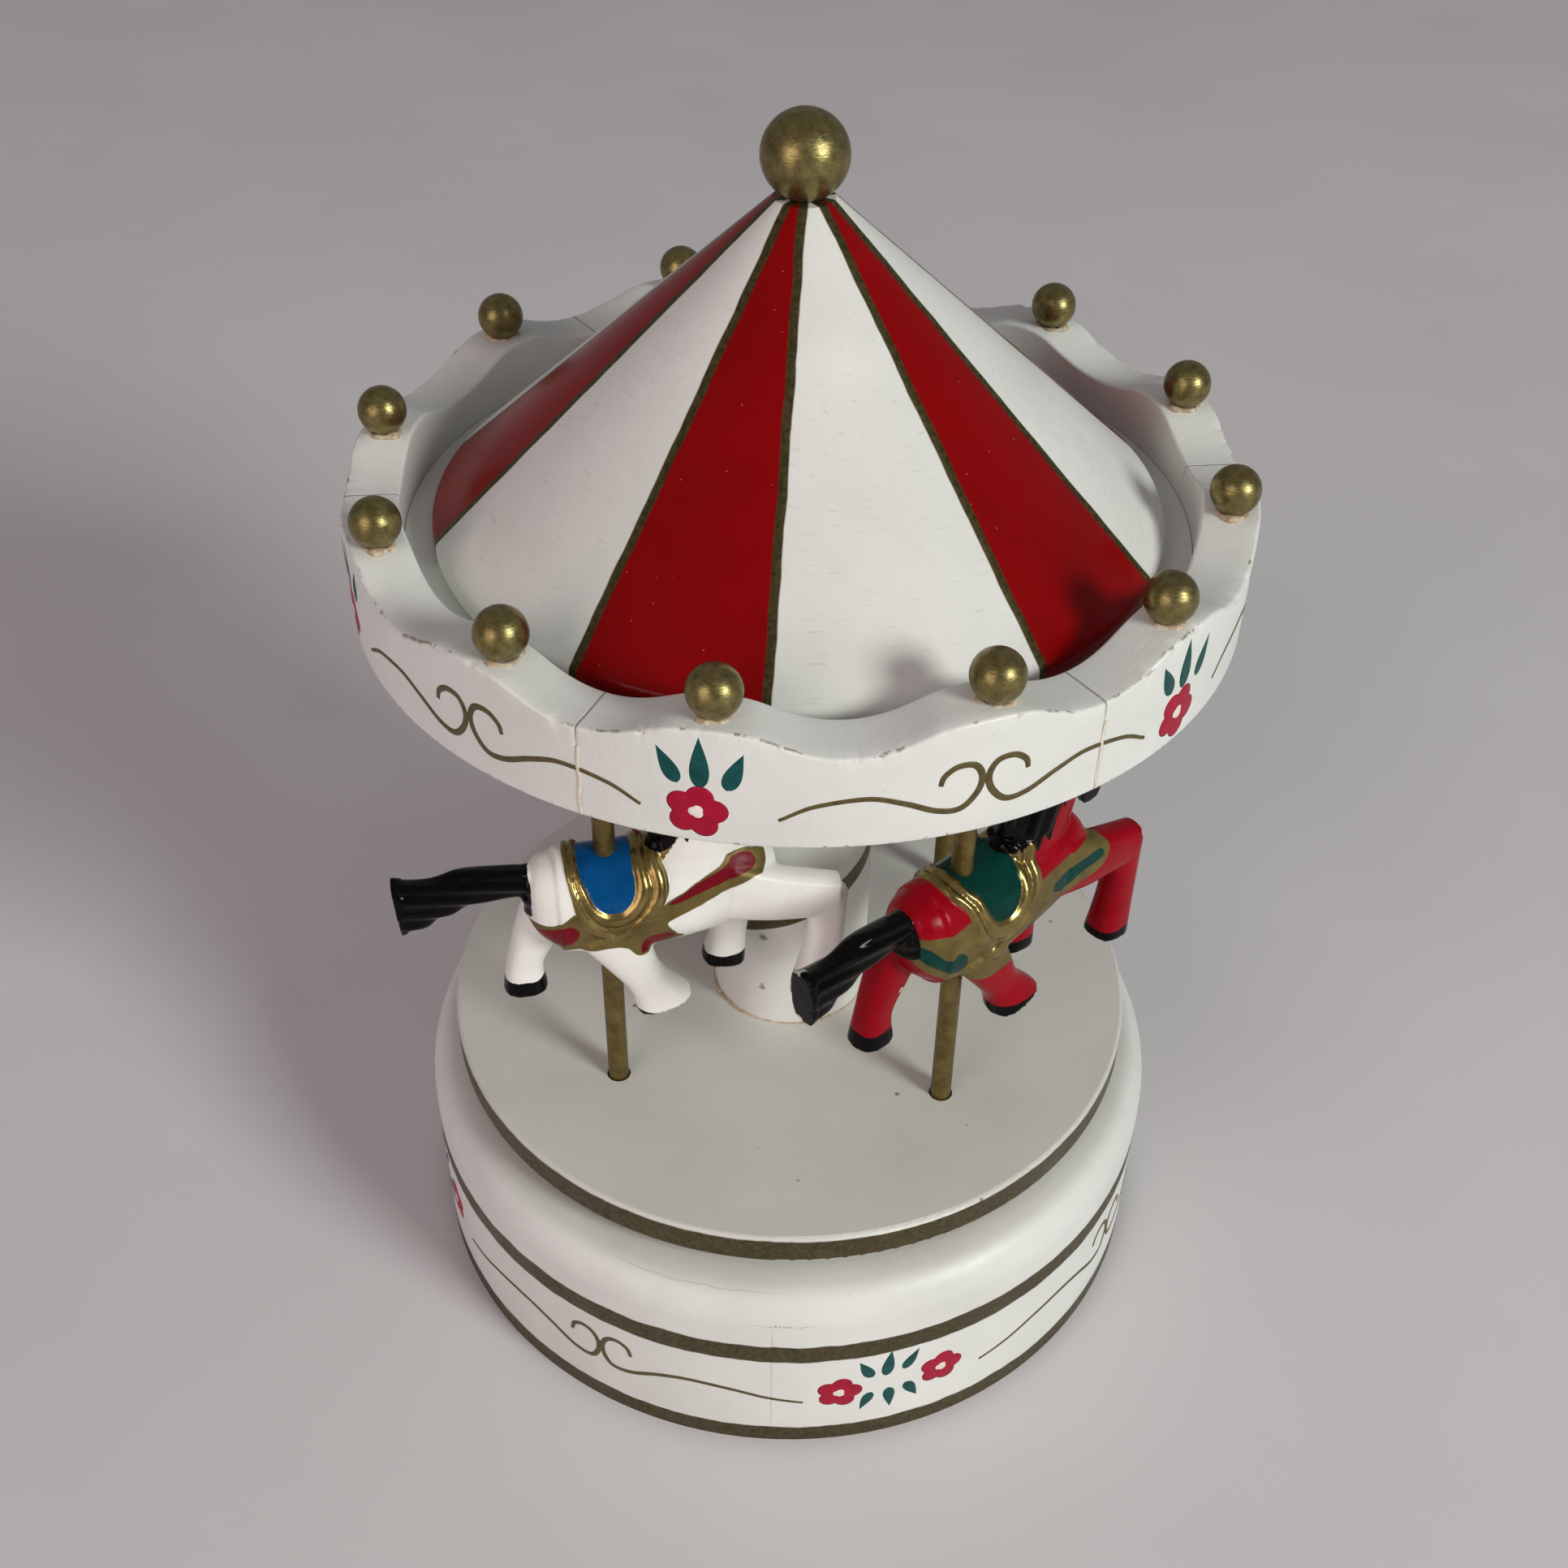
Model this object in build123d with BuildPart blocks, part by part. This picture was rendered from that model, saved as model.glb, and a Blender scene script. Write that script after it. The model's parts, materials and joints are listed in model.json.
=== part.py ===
from build123d import *
import os
from math import acos, cos, pi, radians, sin, sqrt, tan

# Carousel music box: a turned wooden base with a comb movement in it, and a carousel of four horses
# that turns on the movement's spring arbor. Millimetres, +Z up, origin at the bottom centre.

# Fits
seat_gap = 0.05          # glued, pressed and screwed seats
running_gap = 0.3        # between pieces that turn past each other

# Base
base_radius = 72.5
base_wall = 11.0
shoulder_radius = 8.0
top_thickness = 6.5
ledge_width = 6.0        # the step that the base board is screwed against
key_recess_depth = 10.0
board_thickness = 6.0
board_screw_count = 6

# Carousel
platform_gap = 3.6       # between base top and platform
platform_radius = 66.5
platform_thickness = 6.4
platform_edge_round = 0.8
stage_height = 99.7      # platform top to ceiling
column_radius = 15.0
tie_rod_radius = 2.0
tie_nut_width = 7.0
tie_nut_height = 3.2
tie_rod_proud = 1.6      # rod's end above the nut
ceiling_thickness = 6.0
hub_radius = 18.0
hub_boss_radius = 6.0
hub_boss_height = 5.6
arbor_reach = 1.0        # arbor's end above the platform's underside
hub_web = 1.2
hub_screw_count = 3

# Canopy ring, sawn segments glued end to end
rim_radius = 73.7
rim_wall = 9.3
rim_drop = 3.2           # how far the ring hangs below the ceiling
rim_crest_height = 19.6  # ring's bottom to the crests
wave_depth = 3.6
wave_land = 12.0         # flat on each crest, degrees
wave_round = 5.0
rim_segments = 6
waves_per_segment = 2
rim_phase = -24.3        # first glue joint, degrees to the right of the front

# Beads
bead_radius = 4.0
bead_sink = 0.6          # flat sanded on the bead
bead_shift = (0.0, 2.2, -0.5, -2.2, -2.7, -2.6, 0.0, -1.7, 0.3, 2.7, 2.4, 2.8)  # off the crests, degrees
finial_radius = 6.7
finial_flat = 0.5
finial_dowel_radius = 1.5
finial_dowel_depth = 8.0

# Cone roof
cone_gap = 4.8           # between the cone's edge and the ring
cone_edge = 3.6          # height of the rolled lower edge
cone_edge_round = 1.6
cone_rise = 50.5
cone_tip_radius = 4.7
cone_cavity_radius = 9.0
cone_cavity_depth = 9.0

# Poles and horses
pole_radius = 1.9
pole_circle = 43.0
pole_count = 4
pole_phase = -48.4       # first pole, degrees to the right of the front
pole_socket = 4.0
saddle_height = 56.6     # platform top to the top of the saddle
horse_length = 74.0      # tip of the tail to the raised knee
turned_in = (60.0, 0.0, 0.0, 60.0)   # how far each horse is turned from the line of travel

# Movement: plates, spring and arbor
bush_wall = 2.2
bush_lip = 3.0
bush_flange = 0.8
bed_thickness = 2.0
bed_corner = 8.0
bed_wall_gap = 2.3       # between the bedplate's corner and the base wall
plate_margin = 1.5       # plate left outside a screw's head
arbor_radius = 2.5
key_thread_radius = 1.75
housing_radius = 12.0
housing_height = 10.5
housing_wall = 0.8
housing_flange = 1.6
spring_turns = 5
spring_strip = 0.4
spring_width = 8.0
key_span = 23.0
key_thickness = 2.2
key_hub_radius = 3.0
key_floor_gap = 1.6
key_head_gap = 1.0       # between key and base board
key_cap = 0.5            # closed end of the key's thread
key_eye_share = 0.4      # eye in each wing, over the wing's own size

# Movement: gear train
drive_module = 0.8
great_teeth = 40
drive_pinion_teeth = 16
drive_face = 2.0
great_disc = 1.4
headroom = 1.2
ratchet_teeth = 12
ratchet_radius = 5.2
ratchet_tooth = 1.0
ratchet_thickness = 1.4
click_reach = 7.0        # from pivot to nose
click_width = 2.4
click_spring_length = 6.0
click_spring_strip = 0.4
train_module = 0.5
cylinder_gear_teeth = 27
governor_pinion_teeth = 9
worm_module = 0.6
worm_wheel_teeth = 16
worm_pitch_radius = 1.6
worm_turns = 4
worm_root_depth = 0.8    # in modules
thread_sink = 0.1        # thread's foot inside the worm's core
gear_width = 2.0
tooth_share = 0.34       # tooth thickness over pitch, thin for free running
addendum = 0.7           # in modules
dedendum = 1.1
pressure_angle = 20.0
shaft_radius = 1.0
worm_shaft_radius = 0.7
plate_thickness = 1.2
tenon_width = 2.4
gear_gap = 0.6           # along the shafts, between wheels and plates
fan_radius = 3.9
fan_height = 1.6

# Movement: cylinder and comb
cylinder_axis_height = 8.6   # above the bedplate
cylinder_radius = 6.5
pin_height = 0.8
pin_width = 0.4
pins_per_note = 3
notes = 18
tooth_fill = 0.74        # comb tooth's width over the pitch of the notes
bass_length = 13.4
treble_length = 9.0
comb_root = 7.0
comb_thickness = 1.2
comb_screw_shares = (0.2, 0.5, 0.8)
tune_step = 0.618        # spreads the pins round the cylinder

# Screws
screw_radius = 1.25
screw_head_radius = 2.6
screw_head_height = 1.4
small_screw_radius = 0.8
small_screw_head_radius = 1.6
small_screw_head_height = 0.9
screw_bite = 5.0

# Heights that follow from the sizes above
board_bottom = key_recess_depth
board_top = board_bottom + board_thickness
bed_top = board_top + bed_thickness
axis_z = bed_top + cylinder_axis_height
great_pitch_radius = drive_module * great_teeth / 2
drive_pinion_radius = drive_module * drive_pinion_teeth / 2
great_under = axis_z + drive_pinion_radius + dedendum * drive_module
great_top = great_under + great_disc
cavity_top = great_top + headroom
base_height = cavity_top + top_thickness
platform_bottom = base_height + platform_gap
platform_top = platform_bottom + platform_thickness
ceiling_bottom = platform_top + stage_height
ceiling_top = ceiling_bottom + ceiling_thickness
rim_bottom = ceiling_bottom - rim_drop
crest_z = rim_bottom + rim_crest_height
rim_inner = rim_radius - rim_wall
cone_radius = rim_inner - cone_gap
cone_tip_z = ceiling_top + cone_edge + cone_rise
finial_z = cone_tip_z + finial_radius - finial_flat
saddle_z = platform_top + saddle_height

# Places across the shaft
pin_circle = cylinder_radius + pin_height
cylinder_gear_radius = train_module * cylinder_gear_teeth / 2
governor_pinion_radius = train_module * governor_pinion_teeth / 2
worm_wheel_radius = worm_module * worm_wheel_teeth / 2
governor_y = -(cylinder_gear_radius + governor_pinion_radius)
worm_y = governor_y - worm_wheel_radius - worm_pitch_radius
comb_tip_y = pin_circle + running_gap
comb_back_y = comb_tip_y + bass_length + comb_root
frame_edge_y = worm_y - fan_radius - gear_gap
bed_near = frame_edge_y - screw_head_radius
bed_far = comb_back_y + screw_head_radius

# Places along the cylinder's shaft, which points outward along +X: the movement reaches out to the base
# wall, and the cylinder takes up the length that its wheels and plates leave
cavity_radius = base_radius - base_wall
corner_reach = cavity_radius - bed_wall_gap - bed_corner
bed_right = bed_corner + sqrt(corner_reach**2 - (bed_far - bed_corner)**2)
end_plate_x = bed_right - screw_head_radius - plate_thickness
worm_x = end_plate_x - gear_gap - fan_radius
worm_wheel_x = worm_x - gear_width / 2
train_x = worm_wheel_x - gear_gap - gear_width
frame_plate_x = train_x - gear_gap - plate_thickness
cylinder_end = frame_plate_x - gear_gap
drive_start = great_pitch_radius - drive_face / 2
drive_end = great_pitch_radius + drive_face / 2
inner_plate_x = drive_end + gear_gap
cylinder_start = inner_plate_x + plate_thickness + gear_gap
note_pitch = (cylinder_end - cylinder_start) / (notes + 2)
tooth_width = tooth_fill * note_pitch
comb_left = cylinder_start + note_pitch
comb_right = cylinder_end - note_pitch

# How a round piece meets its point: by its lower end or by its upper end
standing = (Align.CENTER, Align.CENTER, Align.MIN)
hanging = (Align.CENTER, Align.CENTER, Align.MAX)

os.makedirs("parts", exist_ok=True)


def keep(piece, name):
    """Labels a finished piece and writes its file."""
    piece.part.label = name
    export_step(piece.part, f"parts/{name}.step")


def turned(*outline):
    """A turned piece: a closed outline of (radius, height) corners about the upright axis."""
    with BuildSketch(Plane.XZ) as profile:
        with BuildLine():
            Polyline(*outline, close=True)
        make_face()
    revolve(profile.sketch, axis=Axis.Z)


def around(radius, angle, height=0.0):
    """A point at an angle to the right of the front, seen from above."""
    return (radius * sin(radians(angle)), -radius * cos(radians(angle)), height)


def screws(points, radius, length, head_radius, head_height, heads_up=True):
    """Round-headed screws whose heads sit on the given points."""
    with Locations(*points):
        Cylinder(radius, length, align=hanging if heads_up else standing)
        Cylinder(head_radius, head_height, align=standing if heads_up else hanging)


def involute(angle):
    return tan(angle) - angle


def gear_outline(teeth, module, first_tooth):
    """Corners of a spur wheel with involute flanks, the first tooth centred at an angle in degrees."""
    pitch = module * teeth / 2
    base = pitch * cos(radians(pressure_angle))
    corners = []
    for tooth in range(teeth):
        centre = radians(first_tooth) + 2 * pi * tooth / teeth
        flank = []
        for radius in (pitch - dedendum * module, pitch, pitch + addendum * module):
            roll = acos(min(1.0, base / radius))
            half = tooth_share * pi / teeth + involute(radians(pressure_angle)) - involute(roll)
            flank.append((radius, half))
        for radius, half in flank:
            corners.append((radius * cos(centre - half), radius * sin(centre - half)))
        for radius, half in reversed(flank):
            corners.append((radius * cos(centre + half), radius * sin(centre + half)))
    return corners


def wheel(centre_y, start_x, width, teeth, module, first_tooth, bore):
    """A wheel on a shaft along +X, with its bore."""
    with BuildSketch(Plane((start_x, centre_y, axis_z), x_dir=(0, 1, 0), z_dir=(1, 0, 0))) as outline:
        with BuildLine():
            Polyline(*gear_outline(teeth, module, first_tooth), close=True)
        make_face()
        Circle(bore, mode=Mode.SUBTRACT)
    extrude(outline.sketch, amount=width)


def rod_along_x(start_x, end_x, centre_y, radius, mode=Mode.ADD):
    """A round rod at the cylinder's height, along +X."""
    with BuildSketch(Plane((start_x, centre_y, axis_z), x_dir=(0, 1, 0), z_dir=(1, 0, 0))) as section:
        Circle(radius)
    extrude(section.sketch, amount=end_x - start_x, mode=mode)


# Base shell: closed on top, open below, with a ledge for the base board
rebate_radius = cavity_radius + ledge_width
bush_radius = arbor_radius + running_gap + bush_wall
board_screw_circle = rebate_radius - screw_head_radius - running_gap
board_screw_points = [around(board_screw_circle, 360 * (k + 0.5) / board_screw_count, board_bottom)
                      for k in range(board_screw_count)]
with BuildPart() as base_shell:
    turned((bush_radius + seat_gap, cavity_top), (cavity_radius, cavity_top), (cavity_radius, board_top),
           (rebate_radius, board_top), (rebate_radius, 0), (base_radius, 0), (base_radius, base_height),
           (bush_radius + seat_gap, base_height))
    shoulder = base_shell.edges().filter_by(GeomType.CIRCLE).group_by(Axis.Z)[-1].sort_by(SortBy.RADIUS)[-1]
    fillet(shoulder, shoulder_radius)
    with Locations(*board_screw_points):
        Cylinder(screw_radius + seat_gap, board_thickness + screw_bite + seat_gap,
                 align=standing, mode=Mode.SUBTRACT)
keep(base_shell, "base_shell")

# Bedplate and the screws that hold it to the base board
bed_left = -(housing_radius + housing_flange + 3 * screw_radius)
bed_inset = screw_head_radius + plate_margin
movement_points = [(x, y, board_bottom) for x in (bed_left + bed_inset, bed_right - bed_inset)
                   for y in (bed_near + bed_inset, bed_far - bed_inset)]
with BuildPart() as bedplate:
    with BuildSketch(Plane.XY.offset(board_top)):
        with Locations(((bed_left + bed_right) / 2, (bed_near + bed_far) / 2)):
            RectangleRounded(bed_right - bed_left, bed_far - bed_near, bed_corner)
        Circle(arbor_radius + running_gap, mode=Mode.SUBTRACT)
        with Locations(*movement_points):
            Circle(screw_radius + seat_gap, mode=Mode.SUBTRACT)
    extrude(amount=bed_thickness)
keep(bedplate, "bedplate")

with BuildPart() as base_board:
    with BuildSketch(Plane.XY.offset(board_bottom)):
        Circle(rebate_radius - seat_gap)
        Circle(arbor_radius + running_gap, mode=Mode.SUBTRACT)
        with Locations(*movement_points, *board_screw_points):
            Circle(screw_radius + seat_gap, mode=Mode.SUBTRACT)
    extrude(amount=board_thickness)
keep(base_board, "base_board")

with BuildPart() as board_screws:
    screws(board_screw_points, screw_radius, board_thickness + screw_bite, screw_head_radius,
           screw_head_height, heads_up=False)
keep(board_screws, "board_screws")

with BuildPart() as movement_screws:
    screws(movement_points, screw_radius, board_thickness + bed_thickness, screw_head_radius,
           screw_head_height, heads_up=False)
keep(movement_screws, "movement_screws")

# Flanged bush in the base top
with BuildPart() as top_bush:
    turned((arbor_radius + running_gap, cavity_top), (bush_radius, cavity_top), (bush_radius, base_height),
           (bush_radius + bush_lip, base_height), (bush_radius + bush_lip, base_height + bush_flange),
           (arbor_radius + running_gap, base_height + bush_flange))
keep(top_bush, "top_bush")

# Spring housing, a drawn cup turned over on the bedplate
housing_top = bed_top + housing_height
with BuildPart() as spring_housing:
    turned((housing_radius - housing_wall, bed_top), (housing_radius + housing_flange, bed_top),
           (housing_radius + housing_flange, bed_top + housing_wall),
           (housing_radius, bed_top + housing_wall), (housing_radius, housing_top),
           (arbor_radius + running_gap, housing_top),
           (arbor_radius + running_gap, housing_top - housing_wall),
           (housing_radius - housing_wall, housing_top - housing_wall))
keep(spring_housing, "spring_housing")

# Mainspring: one strip coiled from the arbor out to the housing, in half turns of growing radius
spring_inner = arbor_radius + running_gap + spring_strip / 2
spring_outer = housing_radius - housing_wall - running_gap - spring_strip / 2
spring_step = (spring_outer - spring_inner) / (2 * spring_turns)
with BuildPart() as mainspring:
    with BuildSketch(Plane.XY.offset(bed_top + (housing_height - housing_wall - spring_width) / 2)):
        with BuildLine() as strip:
            for half in range(2 * spring_turns):
                side = 1 if half % 2 == 0 else -1
                start = spring_inner + half * spring_step
                end = start + spring_step
                middle = (start - end) / 2
                ThreePointArc((side * start, 0), (side * middle, (start + end) / 2 * side), (-side * end, 0))
        trace(line_width=spring_strip)
    extrude(amount=spring_width)
keep(mainspring, "mainspring")

# Spring arbor, from the key up to the drive hub
key_top = board_bottom - key_head_gap
arbor_bottom = key_floor_gap + key_cap
hub_bottom = base_height + bush_flange + running_gap
arbor_top = platform_bottom + arbor_reach
with BuildPart() as spring_arbor:
    turned((0, arbor_bottom), (key_thread_radius, arbor_bottom), (key_thread_radius, key_top),
           (arbor_radius, key_top), (arbor_radius, arbor_top), (0, arbor_top))
keep(spring_arbor, "spring_arbor")

# Butterfly key in the recess under the base
key_height = key_top - key_floor_gap
with BuildPart() as winding_key:
    with BuildSketch(Plane.XZ.offset(-key_thickness / 2)):
        for side in (-1, 1):
            with Locations((side * (key_span - key_height) / 2, (key_top + key_floor_gap) / 2)):
                Circle(key_height / 2)
                Circle(key_eye_share * key_height / 2, mode=Mode.SUBTRACT)
        with Locations((0, (key_top + key_floor_gap) / 2)):
            Rectangle(key_span / 2, key_height / 2)
    extrude(amount=key_thickness)
    with Locations((0, 0, key_floor_gap)):
        Cylinder(key_hub_radius, key_height, align=standing)
    with Locations((0, 0, arbor_bottom - seat_gap)):
        Cylinder(key_thread_radius + seat_gap, key_top, align=standing,
                 mode=Mode.SUBTRACT)
keep(winding_key, "winding_key")

# Great wheel: a disc with face teeth that stand down onto the cylinder's pinion
tooth_tip = axis_z + drive_pinion_radius - addendum * drive_module
tooth_half = tooth_share * pi * drive_module / 2
slope = tan(radians(pressure_angle))
tip_half = tooth_half - addendum * drive_module * slope
root_half = tooth_half + dedendum * drive_module * slope
with BuildPart() as face_tooth:
    with BuildSketch(Plane((drive_start, 0, 0), x_dir=(0, 1, 0), z_dir=(1, 0, 0))):
        with BuildLine():
            Polyline((-tip_half, tooth_tip), (tip_half, tooth_tip), (root_half, great_under),
                     (root_half, great_top), (-root_half, great_top), (-root_half, great_under), close=True)
        make_face()
    extrude(amount=drive_face)
with BuildPart() as great_wheel:
    turned((arbor_radius + seat_gap, great_under), (drive_end, great_under), (drive_end, great_top),
           (arbor_radius + seat_gap, great_top))
    with PolarLocations(0, great_teeth, start_angle=180 / great_teeth):
        add(face_tooth.part)
keep(great_wheel, "great_wheel")

# Ratchet on the arbor, and the click that hangs from the great wheel and lets the arbor be wound
ratchet_bottom = housing_top + gear_gap
ratchet_top = ratchet_bottom + ratchet_thickness
ratchet_corners = []
for tooth in range(ratchet_teeth):
    turn = 2 * pi * tooth / ratchet_teeth
    for radius in (ratchet_radius - ratchet_tooth, ratchet_radius):
        ratchet_corners.append((radius * cos(turn), radius * sin(turn)))
with BuildPart() as ratchet_wheel:
    with BuildSketch(Plane.XY.offset(ratchet_bottom)):
        with BuildLine():
            Polyline(*ratchet_corners, close=True)
        make_face()
        Circle(arbor_radius + seat_gap, mode=Mode.SUBTRACT)
    extrude(amount=ratchet_top - ratchet_bottom)
keep(ratchet_wheel, "ratchet_wheel")

click_pivot = (ratchet_radius + click_width / 2, -click_reach)
click_back = ratchet_radius + click_width
with BuildPart() as click:
    with BuildSketch(Plane.XY.offset(ratchet_bottom)):
        with Locations(click_pivot):
            Circle(click_width / 2)
        with BuildLine():
            Polyline((ratchet_radius, -click_reach), (click_back, -click_reach), (click_back, -seat_gap),
                     (ratchet_radius - ratchet_tooth / 2, -seat_gap), close=True)
        make_face()
    extrude(amount=ratchet_thickness)
    with Locations((*click_pivot, ratchet_bottom)):
        Cylinder(shaft_radius, great_under - ratchet_bottom, align=standing)
keep(click, "click")

with BuildPart() as click_spring:
    with BuildSketch(Plane.XY.offset(ratchet_bottom)):
        with Locations((click_back + seat_gap, -ratchet_tooth)):
            Rectangle(click_spring_strip, click_spring_length, align=(Align.MIN, Align.MAX))
    extrude(amount=great_under - ratchet_bottom)
keep(click_spring, "click_spring")

# Bracket that carries the cylinder's inner end, folded from strip
bracket_half = drive_pinion_radius
bracket_screw_y = bracket_half - small_screw_head_radius
inner_foot_x = drive_start - gear_gap
small_points = [((inner_foot_x + inner_plate_x) / 2, side * bracket_screw_y, bed_top + plate_thickness)
                for side in (-1, 1)]
with BuildPart() as cylinder_bearing:
    with BuildSketch(Plane.XY.offset(bed_top)):
        with Locations(((inner_foot_x + inner_plate_x + plate_thickness) / 2, 0)):
            Rectangle(inner_plate_x + plate_thickness - inner_foot_x, 2 * bracket_half)
        with Locations(*small_points):
            Circle(small_screw_radius + seat_gap, mode=Mode.SUBTRACT)
    extrude(amount=plate_thickness)
    with BuildSketch(Plane((inner_plate_x, 0, bed_top), x_dir=(0, 1, 0), z_dir=(1, 0, 0))):
        with Locations((0, cylinder_axis_height / 2)):
            Rectangle(2 * bracket_half, cylinder_axis_height)
        with Locations((0, cylinder_axis_height)):
            Circle(bracket_half)
            Circle(shaft_radius + running_gap, mode=Mode.SUBTRACT)
        with Locations((0, cylinder_axis_height + bracket_half)):
            Rectangle(2 * bracket_half, bracket_half, mode=Mode.SUBTRACT)
    extrude(amount=plate_thickness)
keep(cylinder_bearing, "cylinder_bearing")

# Cylinder with its pins, one row of pins for each note
with BuildPart() as pinned_cylinder:
    rod_along_x(cylinder_start, cylinder_end, 0, cylinder_radius)
    for note in range(notes):
        note_x = comb_left + (note + 0.5) * note_pitch
        for beat in range(pins_per_note):
            turn = 360 * (beat + note * note * tune_step % 1) / pins_per_note
            outward = (0, cos(radians(turn)), sin(radians(turn)))
            pin_plane = Plane((note_x, 0, axis_z), x_dir=(1, 0, 0), z_dir=outward)
            with BuildSketch(pin_plane.offset(cylinder_radius - pin_height)) as pin:
                Rectangle(pin_width, pin_width)
            extrude(pin.sketch, amount=2 * pin_height)
    rod_along_x(cylinder_start, cylinder_end, 0, shaft_radius + seat_gap, mode=Mode.SUBTRACT)
keep(pinned_cylinder, "pinned_cylinder")

with BuildPart() as cylinder_shaft:
    rod_along_x(drive_start - gear_gap, train_x + gear_width + gear_gap, 0, shaft_radius)
keep(cylinder_shaft, "cylinder_shaft")

with BuildPart() as cylinder_pinion:
    wheel(0, drive_start, drive_face, drive_pinion_teeth, drive_module, 90, shaft_radius + seat_gap)
keep(cylinder_pinion, "cylinder_pinion")

with BuildPart() as cylinder_gear:
    wheel(0, train_x, gear_width, cylinder_gear_teeth, train_module, 180 + 180 / cylinder_gear_teeth,
          shaft_radius + seat_gap)
keep(cylinder_gear, "cylinder_gear")

# Comb of steel teeth on its block; the teeth shorten from bass to treble
comb_bottom = axis_z - comb_thickness / 2
comb_screw_points = [(comb_left + (comb_right - comb_left) * share, comb_back_y - comb_root / 2,
                      comb_bottom + comb_thickness) for share in comb_screw_shares]
with BuildPart() as comb:
    with BuildSketch(Plane.XY.offset(comb_bottom)):
        with BuildLine():
            Polyline((comb_left, comb_tip_y + bass_length), (comb_right, comb_tip_y + treble_length),
                     (comb_right, comb_back_y), (comb_left, comb_back_y), close=True)
        make_face()
        for note in range(notes):
            length = bass_length + (treble_length - bass_length) * (note + 0.5) / notes
            with Locations((comb_left + (note + 0.5) * note_pitch, comb_tip_y)):
                Rectangle(tooth_width, length + note_pitch, align=(Align.CENTER, Align.MIN))
        with Locations(*comb_screw_points):
            Circle(screw_radius + seat_gap, mode=Mode.SUBTRACT)
    extrude(amount=comb_thickness)
keep(comb, "comb")

with BuildPart() as comb_block:
    with BuildSketch(Plane.XY.offset(bed_top)):
        with Locations(((comb_left + comb_right) / 2, comb_back_y)):
            Rectangle(comb_right - comb_left, comb_root, align=(Align.CENTER, Align.MAX))
        with Locations(*comb_screw_points):
            Circle(screw_radius + seat_gap, mode=Mode.SUBTRACT)
    extrude(amount=comb_bottom - bed_top)
keep(comb_block, "comb_block")

with BuildPart() as comb_screws:
    screws(comb_screw_points, screw_radius, comb_thickness + screw_bite, screw_head_radius, screw_head_height)
keep(comb_screws, "comb_screws")

# Governor: arbor with pinion and worm wheel, driving an upright worm with a fan
with BuildPart() as governor_arbor:
    rod_along_x(frame_plate_x - gear_gap / 2, end_plate_x + plate_thickness + gear_gap / 2, governor_y,
                shaft_radius)
keep(governor_arbor, "governor_arbor")

with BuildPart() as governor_pinion:
    wheel(governor_y, train_x, gear_width, governor_pinion_teeth, train_module, 0, shaft_radius + seat_gap)
keep(governor_pinion, "governor_pinion")

with BuildPart() as worm_wheel:
    wheel(governor_y, worm_wheel_x, gear_width, worm_wheel_teeth, worm_module, 180 + 180 / worm_wheel_teeth,
          shaft_radius + seat_gap)
keep(worm_wheel, "worm_wheel")

worm_lead = pi * worm_module
worm_length = worm_turns * worm_lead
worm_root = worm_pitch_radius - worm_root_depth * worm_module
worm_tip = worm_pitch_radius + addendum * worm_module
thread_foot = worm_root - thread_sink
thread_half = tooth_share * worm_lead / 2
thread_rise = addendum * worm_module * slope
fan_bottom = axis_z + worm_wheel_radius + worm_module
bridge_bottom = fan_bottom + fan_height + gear_gap
worm_start = (worm_x, worm_y, axis_z - worm_length / 2)
with BuildPart() as worm:
    with Locations((worm_x, worm_y, bed_top + plate_thickness / 2)):
        Cylinder(worm_shaft_radius, bridge_bottom - bed_top, align=standing)
    with Locations((worm_x, worm_y, axis_z)):
        Cylinder(worm_root, worm_length + worm_lead)
    with BuildLine(Plane(worm_start, x_dir=(0, 1, 0))) as thread_path:
        Helix(worm_lead, worm_length, thread_foot)
    with BuildSketch(Plane(worm_start, x_dir=(0, 1, 0), z_dir=(-1, 0, 0))):
        with BuildLine():
            Polyline((thread_foot, -thread_half - thread_rise), (worm_tip, thread_rise - thread_half),
                     (worm_tip, thread_half - thread_rise), (thread_foot, thread_half + thread_rise),
                     close=True)
        make_face()
    sweep(path=thread_path.wires()[0], is_frenet=True)
keep(worm, "worm")

with BuildPart() as fan:
    with Locations((worm_x, worm_y, fan_bottom + fan_height / 2)):
        Box(2 * fan_radius, plate_thickness / 2, fan_height)
        Cylinder(2 * worm_shaft_radius, fan_height)
        Cylinder(worm_shaft_radius + seat_gap, fan_height, mode=Mode.SUBTRACT)
keep(fan, "fan")

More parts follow.
